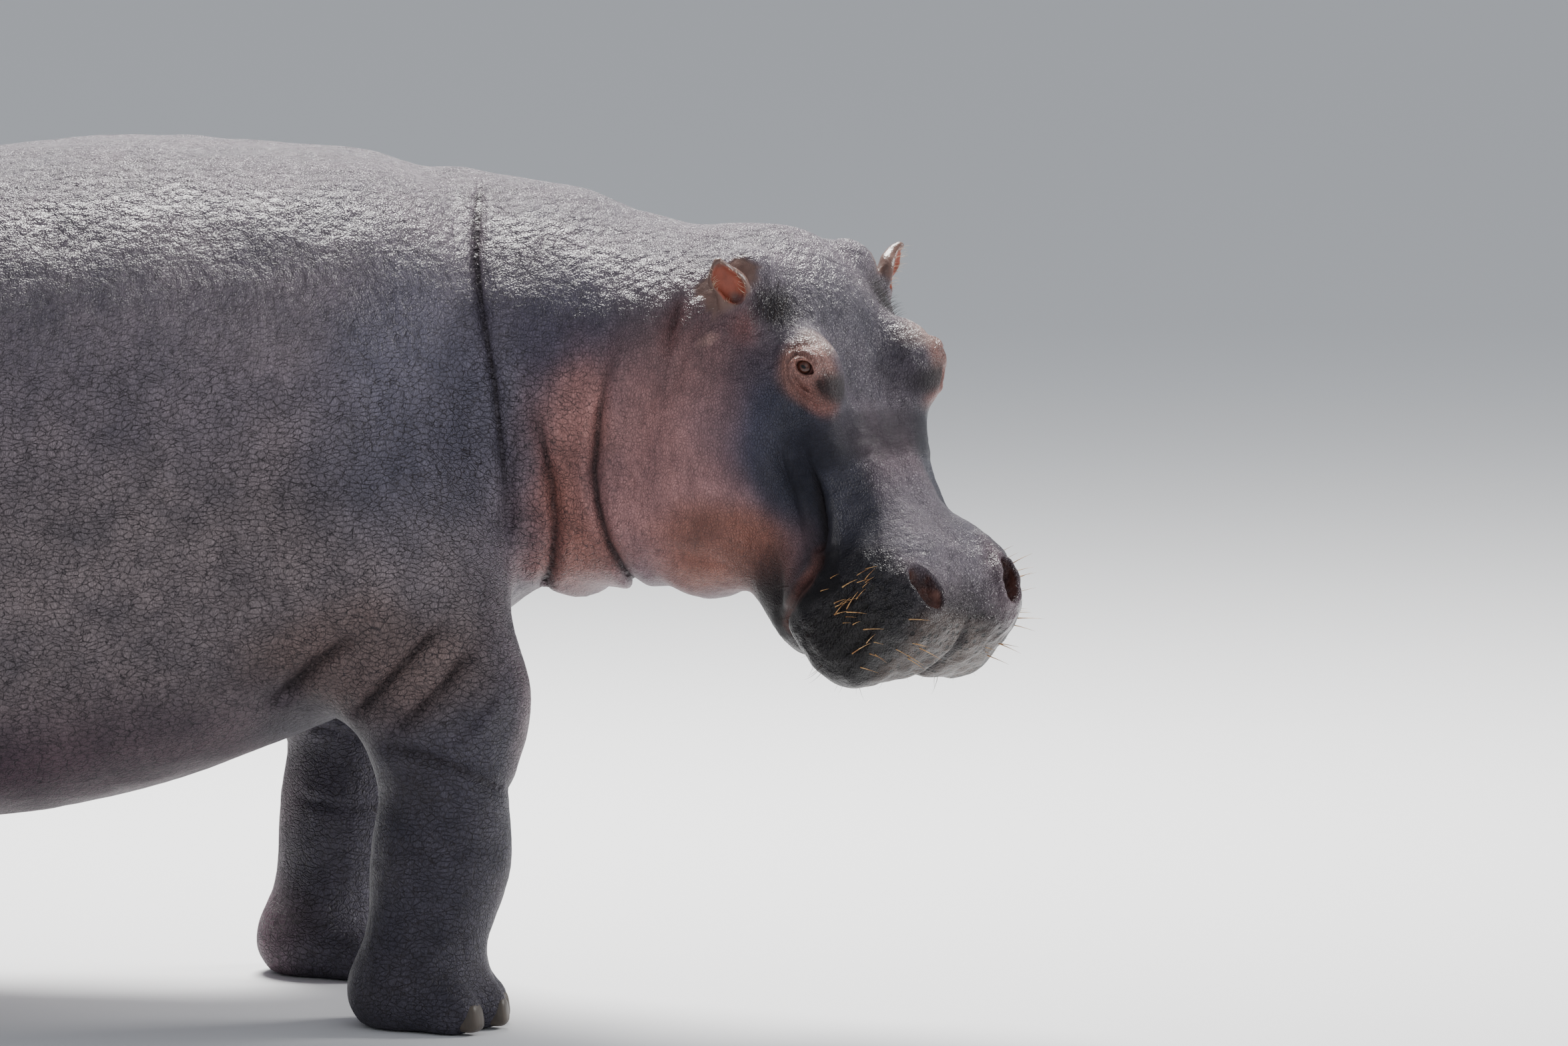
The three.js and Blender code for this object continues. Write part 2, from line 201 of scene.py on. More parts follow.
# Eye socket: a thick double lid round a small opening. Eye axes run forward along the slit, up
# towards the upper lid and outwards.
EYE_MIDDLE = np.array([-6, 138, -20])
EYE_RADIUS = 21
eye_axes = unit(np.array([[0.84, -0.376, 0.39], [-0.52, -0.36, 0.77], [0.15, 0.85, 0.5]]))


def in_eye(h):
    return (h - EYE_MIDDLE) @ eye_axes.T


def distance_to_path(q, path):
    """Distance of each point to a drawn line, and how far along the line that is, from 0 to 1."""
    path = np.asarray(path, float)
    runs = np.diff(path, axis=0)
    lengths = np.linalg.norm(runs, axis=1)
    starts = np.concatenate([[0], np.cumsum(lengths)])
    nearest, along = np.full(len(q), 1e9), np.zeros(len(q))
    for start, run, length, before in zip(path, runs, lengths, starts):
        t = np.clip((q - start) @ run / length**2, 0, 1)
        d = np.linalg.norm(q - start - t[:, None] * run, axis=1)
        closer = d < nearest
        nearest[closer] = d[closer]
        along[closer] = (before + t * length)[closer] / starts[-1]
    return nearest, along


def crease(q, path, depth, width, ends=(0.15, 0.15), pad=0.3):
    """How far a fold draws the skin in along a drawn line, with a soft pad of skin on both sides."""
    path = np.asarray(path, float)
    reach = 5 * width
    close = np.all((q > path.min(0) - reach) & (q < path.max(0) + reach), axis=1)
    drawn = np.zeros(len(q))
    if not close.any():
        return drawn
    d, along = distance_to_path(q[close], path)
    fade = ease(along, -0.001, ends[0] + 0.001) * (1 - ease(along, 0.999 - ends[1], 1.001))
    softened = np.sqrt(d * d + (0.45 * width) ** 2) - 0.45 * width
    groove = np.exp(-softened / (0.6 * width)) - pad * np.exp(-(((d - 2.2 * width) / (1.3 * width)) ** 2))
    drawn[close] = depth * fade * groove
    return drawn


# Folds of lids and orbit, drawn on the eye's own forward and up axes. Each is its line, depth and width.
LID_FOLDS = [
    ([(20, 8), (8, 16), (-9, 17), (-24, 8), (-29, -6), (-25, -22), (-12, -35), (10, -42), (38, -44),
      (64, -46)], 6.5, 4),
    ([(-42, 16), (-46, -11), (-30, -38), (-3, -55), (30, -64), (66, -65)], 6, 5),
    ([(-18, -8), (-8, -21), (9, -26), (28, -27), (46, -30)], 3.5, 3),
    ([(24, -2), (42, -14), (60, -26), (82, -44)], 7, 6),
    ([(-38, 8), (-30, 26), (-8, 40), (18, 46), (48, 40)], 6, 7),
    ([(0, -47), (20, -53), (48, -55)], 3, 3.5),
    ([(-52, -2), (-50, -30), (-34, -54)], 3, 4),
]


def lids(h):
    e = in_eye(h)
    outward = ease(e[:, 2], 0, 12)
    drawn = sum(crease(e[:, :2], *fold) for fold in LID_FOLDS)
    lid = np.exp(-(((np.hypot(e[:, 0] - 1, 1.25 * e[:, 1]) - 22) / 7) ** 2))
    slit = np.abs(e[:, 1]) / 11 + ((e[:, 0] - 2) / 18) ** 2
    return outward * (drawn - 2.5 * lid + 11 * (1 - ease(slit, 0.7, 1.25)))


# Folds of the head, drawn on its side: the corner of the mouth, the rough edge of the lip and the
# flap of the upper lip, then softer ones of jowl, lip and snout. Each is its line, depth, width and
# the shares of its length over which its two ends fade.
HEAD_FOLDS = [
    ([(50, -92), (90, -98), (150, -107), (200, -115), (245, -121), (275, -126)], 15, 8, (0.7, 0.05)),
    ([(30, -124), (90, -132), (150, -139), (205, -146), (250, -150)], 6, 8, (0.4, 0.3)),
    ([(268, -121), (290, -128), (304, -152), (318, -192), (322, -235), (330, -275)], 11, 9, (0.1, 0.1)),
    ([(345, -150), (352, -190), (368, -225)], 5, 12, (0.4, 0.3)),
    ([(120, -398), (150, -360), (178, -325), (214, -318)], 6, 14, (0.4, 0.4)),
    ([(372, -60), (366, -100), (375, -140)], 4, 9, (0.4, 0.4)),
    ([(420, -60), (436, -110), (440, -170)], 5, 8, (0.3, 0.4)),
    ([(300, -70), (345, -52), (366, -38)], 4, 9, (0.4, 0.3)),
    ([(250, -62), (300, -44), (350, -30)], 3, 8, (0.4, 0.3)),
]


def head_relief(h):
    near_eye = near(in_eye(h), (0, 0, 0), 130)
    drawn = np.zeros(len(h))
    drawn[near_eye] = lids(h[near_eye])
    side = ease(h[:, 1], 60, 95)
    for path, depth, width, ends in HEAD_FOLDS:
        drawn += side * crease(h[:, [0, 2]], path, depth, width, ends)
    cleft = np.exp(-np.sqrt(h[:, 1] ** 2 + 9) / 12) * ease(h[:, 0], 400, 465) * (1 - ease(h[:, 2], -70, -20))
    cleft_depth = 19 + 22 * (1 - ease(h[:, 2], -215, -115))
    dip = np.exp(-((h[:, 1] / 34) ** 2)) * np.exp(-(((h[:, 0] - 415) / 60) ** 2)) * ease(h[:, 2], -90, -30)
    return drawn + cleft_depth * cleft + 8 * dip


nostril_pit = ellipsoid((400, 94, -4), (37, 18, 27), (0, 0, -14))
LID_THICKNESS, NOSTRIL_RIM, NOSTRIL_ROUND = 6, 5, 8


def finished_half_head(h):
    lid_ball = np.linalg.norm(h - EYE_MIDDLE, axis=1) - (EYE_RADIUS + LID_THICKNESS)
    skin = blended(half_head(h), lid_ball, 14)
    pit = nostril_pit(h)
    skin = skin - NOSTRIL_RIM * np.exp(-(((pit - 7) / 7) ** 2)) * (pit > -5)
    return -blended(-(skin + head_relief(h)), pit, NOSTRIL_ROUND)


head = within(lambda p: finished_half_head(in_half_head(p)), (60, -1000, 440), (1200, 300, 1460))

# Legs: short pillars on broad feet with four toes.
TOES = [(68 * k, 19 * (k * k - 0.25), 17 * k) for k in (-1.5, -0.5, 0.5, 1.5)]


def foot(x, y):
    form = ellipsoid((x - 20, y, 52), (112.5, 116, 76))
    for side, back, turn in TOES:
        form = join(form, ellipsoid((x + 62 - back, y + side, 38), (60, 40, 46), (0, 0, turn)), 22)
    return form


def foreleg(side, reach):
    y = side * 330
    elbow, wrist = (reach + 8, y, 520), (reach - 4, y, 270)
    point = ellipsoid((reach - 30, y * 0.97, 585), (125, 115, 150))
    form = join(limb((reach - 135, side * 270, 790), elbow, (200, 120)), point, 60)
    form = join(join(form, limb(elbow, wrist, (112, 98)), 70), limb(wrist, (reach - 38, y, 90), (98, 98)), 60)
    low, high = (reach - 520, min(y, side * 100) - 320, -80), (reach + 300, max(y, side * 100) + 320, 1100)
    return within(join(form, foot(reach - 20, y), 50), low, high)


def hindleg(side, reach):
    y = side * 312
    knee, hock = (reach + 50, y, 520), (reach - 80, y, 310)
    thigh = ellipsoid((reach - 30, side * 250, 740), (290, 195, 360), (0, 12, 0))
    form = join(thigh, limb((reach + 30, side * 290, 640), knee, (180, 130)), 80)
    form = join(join(form, limb(knee, hock, (140, 108)), 60), limb(hock, (reach - 60, y, 90), (106, 98)), 50)
    low, high = (reach - 450, min(y, side * 100) - 320, -80), (reach + 420, max(y, side * 100) + 320, 1220)
    return within(join(form, foot(reach - 20, y), 50), low, high)


# Tail: short, thick at the root and flattened towards the tip.
tail_root = limb((-1920, 0, 985), (-2010, 0, 800), (72, 46))
tail_tip = limb((-2010, 0, 800), (-2040, 0, 610), (46, 24), 1.3)
tail = within(join(tail_root, tail_tip, 30), (-2300, -300, 400), (-1650, 300, 1250))

forelegs = join(foreleg(-1, 0), foreleg(1, -165), 10)
hindlegs = join(hindleg(-1, -1390), hindleg(1, -1610), 10)
rear = join(join(trunk, join(forelegs, hindlegs, 10), 90), tail, 50)
with_neck = join(rear, neck, lambda p: 50 - 35 * ease(p[:, 2], 850, 1000))
whole = join(with_neck, head, lambda p: 12 + 100 * (1 - folded(p, 1020, 1200)))

# Folds of the body, drawn on its side: the groove before the shoulder, the rolls of the neck, the
# folds behind the ear, those of groin and hind leg, and those fanning round the elbow. The last
# number says where a fold lies: -1 on the right, 1 on the left and 0 on both sides.
BODY_FOLDS = [
    ([(56, 1420), (55, 1312), (53, 1232), (62, 1160), (83, 1037), (96, 900), (104, 800), (98, 690)],
     14, 7.5, (0.02, 0.4), -1),
    ([(50, 1420), (52, 1250), (78, 1060), (95, 900), (100, 760)], 7, 20, (0.02, 0.3), 1),
    ([(105, 1090), (145, 1000), (160, 949), (175, 871), (180, 806), (173, 737), (155, 680)],
     14, 9, (0.45, 0.05), -1),
    ([(284, 1240), (281, 1176), (269, 1090), (253, 1002), (243, 899), (248, 848), (264, 783), (296, 721), (330, 680)],
     16, 9, (0.55, 0.05), -1),
    ([(392, 1210), (378, 1165), (362, 1110), (350, 1040)], 11, 11, (0.35, 0.5), -1),
    ([(430, 1157), (398, 1119), (378, 1069), (366, 1020)], 5, 9, (0.3, 0.4), -1),
    ([(70, 1110), (96, 1030), (108, 948), (112, 844), (104, 760)], 6, 10, (0.4, 0.3), -1),
    ([(-1180, 700), (-1230, 600), (-1300, 520), (-1380, 470)], 11, 14, (0.3, 0.2), 0),
    ([(-1150, 610), (-1210, 530), (-1280, 470)], 7, 11, (0.3, 0.2), 0),
    ([(-1390, 400), (-1440, 350), (-1520, 330)], 4, 9, (0.3, 0.3), 0),
    ([(-1800, 690), (-1740, 560), (-1700, 450)], 8, 14, (0.3, 0.3), 0),
    ([(-1945, 1080), (-1905, 980), (-1890, 880)], 4, 16, (0.4, 0.4), 0),
]
ELBOW_FOLDS = [
    ([(-120, 665), (-151, 636), (-205, 592), (-258, 539), (-300, 520)], 14, 12, (0.3, 0.3)),
    ([(20, 690), (-12, 652), (-66, 593), (-125, 523), (-160, 500)], 15, 10, (0.3, 0.2)),
    ([(75, 650), (57, 636), (9, 571), (-44, 517), (-92, 469)], 14, 10, (0.3, 0.2)),
    ([(-110, 478), (-87, 462), (-23, 450), (31, 427), (84, 395), (120, 370)], 11.5, 12, (0.2, 0.2)),
    ([(90, 560), (50, 500), (0, 460)], 6, 8, (0.3, 0.3)),
    ([(-90, 430), (-20, 412), (50, 380)], 6, 8, (0.3, 0.3)),
    ([(80, 300), (0, 285), (-100, 300)], 5, 8, (0.2, 0.2)),
]
# The far foreleg stands back, and its folds with it.
for side, back in ((-1, 0), (1, 165)):
    for path, *shape in ELBOW_FOLDS:
        BODY_FOLDS.append(([(fold_x - back, fold_z) for fold_x, fold_z in path], *shape, side))

SOLE_ROUND = 10


def body_relief(p):
    shown_on = {-1: ease(-p[:, 1], 40, 150), 0: 1, 1: ease(p[:, 1], 0, 140)}
    drawn = np.zeros(len(p))
    for path, depth, width, ends, side in BODY_FOLDS:
        drawn += shown_on[side] * crease(p[:, [0, 2]], path, depth, width, ends)
    return drawn


def hide(p):
    return -blended(-(whole(p) + body_relief(p)), p[:, 2], SOLE_ROUND)


# ---- Skin: the surface ----
# The form is meshed on a coarse grid, and the mesh is then split where the head, the eyes, the
# nostrils and the folds need finer triangles, and drawn onto the form again.
BODY_EDGE, FOOT_EDGE, FOLD_EDGE, SHARP_FOLD_EDGE = 20.5, 12, 9.6, 6
HEAD_EDGE, MUZZLE_EDGE, MOUTH_EDGE, FEATURE_EDGE = 8.2, 6, 4, 2.95
COARSE_GRID = 18


def surface_net(form, low, high, step):
    low = np.array(low, float)
    count = np.ceil((np.array(high) - low) / step).astype(int) + 1
    lattice = np.stack(np.meshgrid(*(low[i] + step * np.arange(count[i]) for i in range(3)), indexing="ij"), -1)
    value = form(lattice.reshape(-1, 3)).reshape(count)
    inside = value < 0
    corners = [np.array((a, b, c)) for a in (0, 1) for b in (0, 1) for c in (0, 1)]
    cell_count = count - 1
    filled = np.zeros(cell_count, int)
    for corner in corners:
        filled += inside[tuple(slice(k, k + n) for k, n in zip(corner, cell_count))]
    crossed = (filled > 0) & (filled < 8)
    number = np.full(crossed.shape, -1)
    cells = np.argwhere(crossed)
    number[crossed] = np.arange(len(cells))
    total, crossings = np.zeros((len(cells), 3)), np.zeros(len(cells))
    for i, a in enumerate(corners):
        for b in corners[i + 1 :]:
            if np.abs(a - b).sum() != 1:
                continue
            va, vb = value[tuple((cells + a).T)], value[tuple((cells + b).T)]
            meets = (va < 0) != (vb < 0)
            t = np.where(meets, va / np.where(va == vb, 1, va - vb), 0)
            total += np.where(meets[:, None], a + t[:, None] * (b - a), 0)
            crossings += meets
    points = low + step * (cells + total / crossings[:, None])
    quads = []
    for axis in range(3):
        u, w = (np.eye(3, dtype=int)[k] for k in range(3) if k != axis)
        first = np.take(inside, range(count[axis] - 1), axis)
        second = np.take(inside, range(1, count[axis]), axis)
        at = np.argwhere(first != second)
        leaves = first[tuple(at.T)]
        quad = np.stack([number[tuple((at - d).T)] for d in (u + w, w, 0 * u, u)], 1)
        turned = leaves if axis != 1 else ~leaves
        quad[~turned] = quad[~turned][:, ::-1]
        quads.append(quad)
    quads = np.concatenate(quads)
    return points, np.concatenate([quads[:, [0, 1, 2]], quads[:, [0, 2, 3]]])


def edges_of(triangles, count):
    ends = np.sort(triangles[:, [[0, 1], [1, 2], [2, 0]]].reshape(-1, 2), axis=1)
    keys, side = np.unique(ends[:, 0] * count + ends[:, 1], return_inverse=True)
    return np.stack([keys // count, keys % count], 1), side.reshape(-1, 3)


def split_long_edges(points, triangles, edge_at):
    edges, side = edges_of(triangles, len(points))
    middles = points[edges].mean(1)
    too_long = np.linalg.norm(points[edges[:, 0]] - points[edges[:, 1]], axis=1) > 1.4 * edge_at(middles)
    fresh = np.full(len(edges), -1)
    fresh[too_long] = len(points) + np.arange(too_long.sum())
    at = fresh[side]
    cuts = (at >= 0).sum(1)
    made = [triangles[cuts == 0]]
    for number in (1, 2, 3):
        t, m = triangles[cuts == number], at[cuts == number]
        # Each triangle is turned so that its one cut side, or its one whole side, comes last.
        lone = np.argmax(m >= 0, axis=1) if number == 1 else np.argmin(m, axis=1)
        order = (np.arange(3)[None, :] + (lone[:, None] + 1 if number < 3 else 0)) % 3
        t, m = np.take_along_axis(t, order, 1), np.take_along_axis(m, order, 1)
        (a, b, c), (ab, bc, ca) = t.T, m.T
        if number == 1:
            made += [np.stack(v, 1) for v in ((a, b, ca), (b, c, ca))]
        elif number == 2:
            made += [np.stack(v, 1) for v in ((ab, b, bc), (a, ab, bc), (a, bc, c))]
        else:
            made += [np.stack(v, 1) for v in ((a, ab, ca), (ab, b, bc), (ca, bc, c), (ab, bc, ca))]
    return np.concatenate([points, middles[too_long]]), np.concatenate(made)


def even_out(points, triangles, share):
    edges, _ = edges_of(triangles, len(points))
    total = np.zeros_like(points)
    for k in range(3):
        total[:, k] = np.bincount(edges[:, 0], points[edges[:, 1], k], len(points))
        total[:, k] += np.bincount(edges[:, 1], points[edges[:, 0], k], len(points))
    degree = np.bincount(edges.ravel(), minlength=len(points))
    return points + share * (total / degree[:, None] - points)


def draw_onto(form, points, reach):
    distance = form(points)
    slope = np.stack([(form(points + d) - distance) for d in np.eye(3)], 1)
    move = -distance[:, None] * slope / np.maximum((slope**2).sum(1), 0.25)[:, None]
    far = np.linalg.norm(move, axis=1, keepdims=True)
    return points + move * np.minimum(1, reach / np.maximum(far, 1e-9))


# Each place with finer triangles: its edge, how fast that grows, its middle on the head, how much it
# is drawn out, and its reach.
FINER_PLACES = [
    (HEAD_EDGE, 0.12, (170, 60, -150), (1.35, 1, 1), 240),
    (FEATURE_EDGE, 0.1, EYE_MIDDLE, (1, 1, 1), 42),
    (MUZZLE_EDGE, 0.1, (370, 60, -110), (1, 1.2, 1.2), 125),
    (FEATURE_EDGE, 0.15, (404, 92, -2), (1.5, 1, 1), 30),
]


def growing_edge(finest, growth, distance, reach):
    return finest + growth * np.maximum(distance - reach, 0)


def edge_at(p):
    """The length that triangle edges should have at each place."""
    h = in_half_head(p)
    size = np.minimum(BODY_EDGE, growing_edge(FOOT_EDGE, 0.15, p[:, 2], 130))
    for finest, growth, middle, drawn_out, reach in FINER_PLACES:
        away = np.linalg.norm((h - middle) / drawn_out, axis=1)
        size = np.minimum(size, growing_edge(finest, growth, away, reach))
    on_side = (h[:, 1] > 70) & (h[:, 2] < 40)
    for path, *_ in HEAD_FOLDS[:3]:
        away, _ = distance_to_path(h[:, [0, 2]], path)
        size = np.where(on_side, np.minimum(size, growing_edge(MOUTH_EDGE, 0.2, away, 8)), size)
    for path, depth, width, _, side in BODY_FOLDS:
        away, _ = distance_to_path(p[:, [0, 2]], path)
        finest = SHARP_FOLD_EDGE if width < 9.5 and depth > 12 else FOLD_EDGE
        size = np.where(p[:, 1] * side > -20, np.minimum(size, growing_edge(finest, 0.3, away, 0.8 * width)), size)
    return size


points, triangles = surface_net(hide, (-2120, -690, -40), (1000, 620, 1450), COARSE_GRID)
for _ in range(5):
    points, triangles = split_long_edges(points, triangles, edge_at)
    points = even_out(points, triangles, 0.6)
    points = draw_onto(hide, points, 12)
for _ in range(2):
    points = draw_onto(hide, even_out(points, triangles, 0.4), 6)

# ---- Skin: the ears ----
# Small stiff cups of thin skin on the back corners of the head, open to the front and side.
# Each is meshed finely on its own axes (across, opening, stem) and joined to the skin at its root.
EAR_ROOT = np.array([-150, 150, -85])
ear_stem = unit(np.array([-0.70, 0.68, 0.30]))
ear_across = unit(np.cross([0.70, 0.45, 0.45], ear_stem))
ear_axes = np.stack([ear_across, np.cross(ear_stem, ear_across), ear_stem])
ear_cup = join(ellipsoid((2, 0, 42), (28, 18, 48)), limb((4, -1, 62), (9, 3, 92), (18, 7)), 14)
ear_lobe = ellipsoid((-12, 0, 14), (23, 17, 30))
ear_shell = join(join(ear_cup, ear_lobe, 12), limb((0, -4, -26), (0, -3, 14), (27, 20)), 20)
ear_hollow = join(ellipsoid((3, 13, 54), (20, 17, 36)), limb((4, 12, 60), (9, 12, 86), (13, 4)), 10)
EAR_RIM, EAR_GRID = 5, 3.4


def ear(p):
    across, _, up_stem = p.T
    wave = np.stack([2.2 * np.sin(up_stem / 9), 2.5 * np.sin(up_stem / 13 + across / 11), 0 * across], 1)
    return -blended(-ear_shell(p + wave), ear_hollow(p + wave), EAR_RIM)


ear_points, ear_triangles = surface_net(ear, (-45, -45, -60), (45, 45, 105), EAR_GRID)
for _ in range(2):
    ear_points = draw_onto(ear, even_out(ear_points, ear_triangles, 0.5), 2)


def mesh_piece(name, points, triangles):
    mesh = bpy.data.meshes.new(name)
    mesh.from_pydata((points / 1000).tolist(), [], triangles.tolist())
    mesh.polygons.foreach_set("use_smooth", [True] * len(mesh.polygons))
    piece = bpy.data.objects.new(name, mesh)
    bpy.context.scene.collection.objects.link(piece)
    return piece


def on_both_sides(origin, axes, own_points, own_triangles):
    """A form made on axes of the half head, placed on the right and on the left of the head."""
    for side in (-1, 1):
        placed = from_head((origin + own_points @ axes) * (1, side, 1)) + STANDS_AT
        # Mirroring turns a shape inside out, so on one side its triangles are turned over.
        handed = np.linalg.det(axes) * side > 0
        yield placed, own_triangles if handed else own_triangles[:, ::-1]


skin = mesh_piece("skin", points + STANDS_AT, triangles)
joined_ears = []
for placed, turned in on_both_sides(EAR_ROOT, ear_axes, ear_points, ear_triangles):
    one_ear = mesh_piece("ear", placed, turned)
    joining = skin.modifiers.new("join ear", "BOOLEAN")
    joining.operation, joining.solver, joining.object = "UNION", "EXACT", one_ear
    joined_ears.append(one_ear)
evaluated = skin.evaluated_get(bpy.context.evaluated_depsgraph_get())
whole_skin = bpy.data.meshes.new_from_object(evaluated)
skin.modifiers.clear()
skin.data = whole_skin
for one_ear in joined_ears:
    bpy.data.objects.remove(one_ear)

tidy = bmesh.new()
tidy.from_mesh(whole_skin)
bmesh.ops.triangulate(tidy, faces=tidy.faces[:])
bmesh.ops.dissolve_degenerate(tidy, dist=0.0002, edges=tidy.edges[:])
bmesh.ops.triangulate(tidy, faces=[f for f in tidy.faces if len(f.verts) > 3])
tidy.to_mesh(whole_skin)
tidy.free()
whole_skin.validate()
whole_skin.polygons.foreach_set("use_smooth", [True] * len(whole_skin.polygons))


def places(mesh):
    flat = np.empty(3 * len(mesh.vertices))
    mesh.vertices.foreach_get("co", flat)
    return flat.reshape(-1, 3)


def in_ear(h):
    return (h - EAR_ROOT) @ ear_axes.T


points = places(whole_skin) * 1000 - STANDS_AT
triangles = np.array([p.vertices[:] for p in whole_skin.polygons])
h = in_half_head(points)
ear_place = in_ear(h)
at_root = np.all(np.abs(ear_place[:, :2]) < 60, axis=1) & (ear_place[:, 2] < 22) & (ear_place[:, 2] > -40)
for _ in range(6):
    points = np.where(at_root[:, None], even_out(points, triangles, 0.5), points)


# ---- Skin: relief, colour and wet ----
# The hide is grey-violet above, mauve on the flanks and pink in the folds, on the cheeks and the
# belly, dark on the muzzle, and wet along the back. Shade is painted into the creases and the
# hollows of the fine wrinkles, onto the sides of the face and snout, into the hollow before each eye
# and into the cleft of the muzzle. Light is painted onto the top of the snout and the ridges of the
# fine wrinkles. The shares of each are kept on the mesh.
def knobs(p, size, seed):
    return np.array([noise.noise(Vector(q) / size + Vector((seed, 0, 0))) for q in p])


def outwards(points, triangles):
    a, b, c = (points[triangles[:, k]] for k in range(3))
    flat = np.cross(b - a, c - a)
    total = np.zeros_like(points)
    for axis in range(3):
        total[:, axis] = sum(np.bincount(triangles[:, k], flat[:, axis], len(points)) for k in range(3))
    return unit(total)


normals = outwards(points, triangles)
rough_top = ease(points[:, 2], 950, 1180) * (1 - ease(points[:, 0], 250, 420))
on_ear = ease(ear_place[:, 2], 10, 30) * np.all(np.abs(ear_place[:, :2]) < 50, axis=1)
on_head = near(h, (100, 0, -150), 520)
on_muzzle = ease(h[:, 0], 270, 360) * on_head
lump = knobs(points, 62, 3) * (1.6 + 1.6 * rough_top) + knobs(points, 24, 7) * (0.9 + 2.4 * on_muzzle)
lump = lump + 3 * on_muzzle * knobs(points, 46, 5)
snout_rings = knobs(in_head(points) / (11, 40, 22), 1, 8) * ease(h[:, 0], 60, 150) * on_head
snout_rings = snout_rings * ease(h[:, 2], -230, -120)
lump = (lump + 1.5 * snout_rings) * (1 - on_ear)
points = points + lump[:, None] * normals
SOLE_HEIGHT = 0.5
points[:, 2] = np.maximum(points[:, 2], SOLE_HEIGHT)
whole_skin.vertices.foreach_set("co", ((points + STANDS_AT) / 1000).ravel())
whole_skin.update()

h = in_half_head(points)
e = in_eye(h)
drawn_in = body_relief(points) + head_relief(h) * near(h, (150, 60, -150), 420)
# Painted shade: the fold share darkens the skin along the creases of body, head and lids, the more the deeper each is
# drawn in.
lid_crease_shade = 0.75 * ease(lids(h), 1, 5) * near(e, (0, 0, 0), 110) * (e[:, 2] > -20)
fold = np.maximum(ease(drawn_in, 4, 15), lid_crease_shade)
pit = nostril_pit(h)


def patch(q, middle, half, soft=0.5):
    reach = np.linalg.norm((q - middle) / half, axis=1)
    return 1 - ease(reach, 1 - soft, 1 + soft)


def srgb(code):
    parts = np.array([int(code[i : i + 2], 16) / 255 for i in (1, 3, 5)])
    return np.where(parts <= 0.04045, parts / 12.92, ((parts + 0.055) / 1.055) ** 2.4)


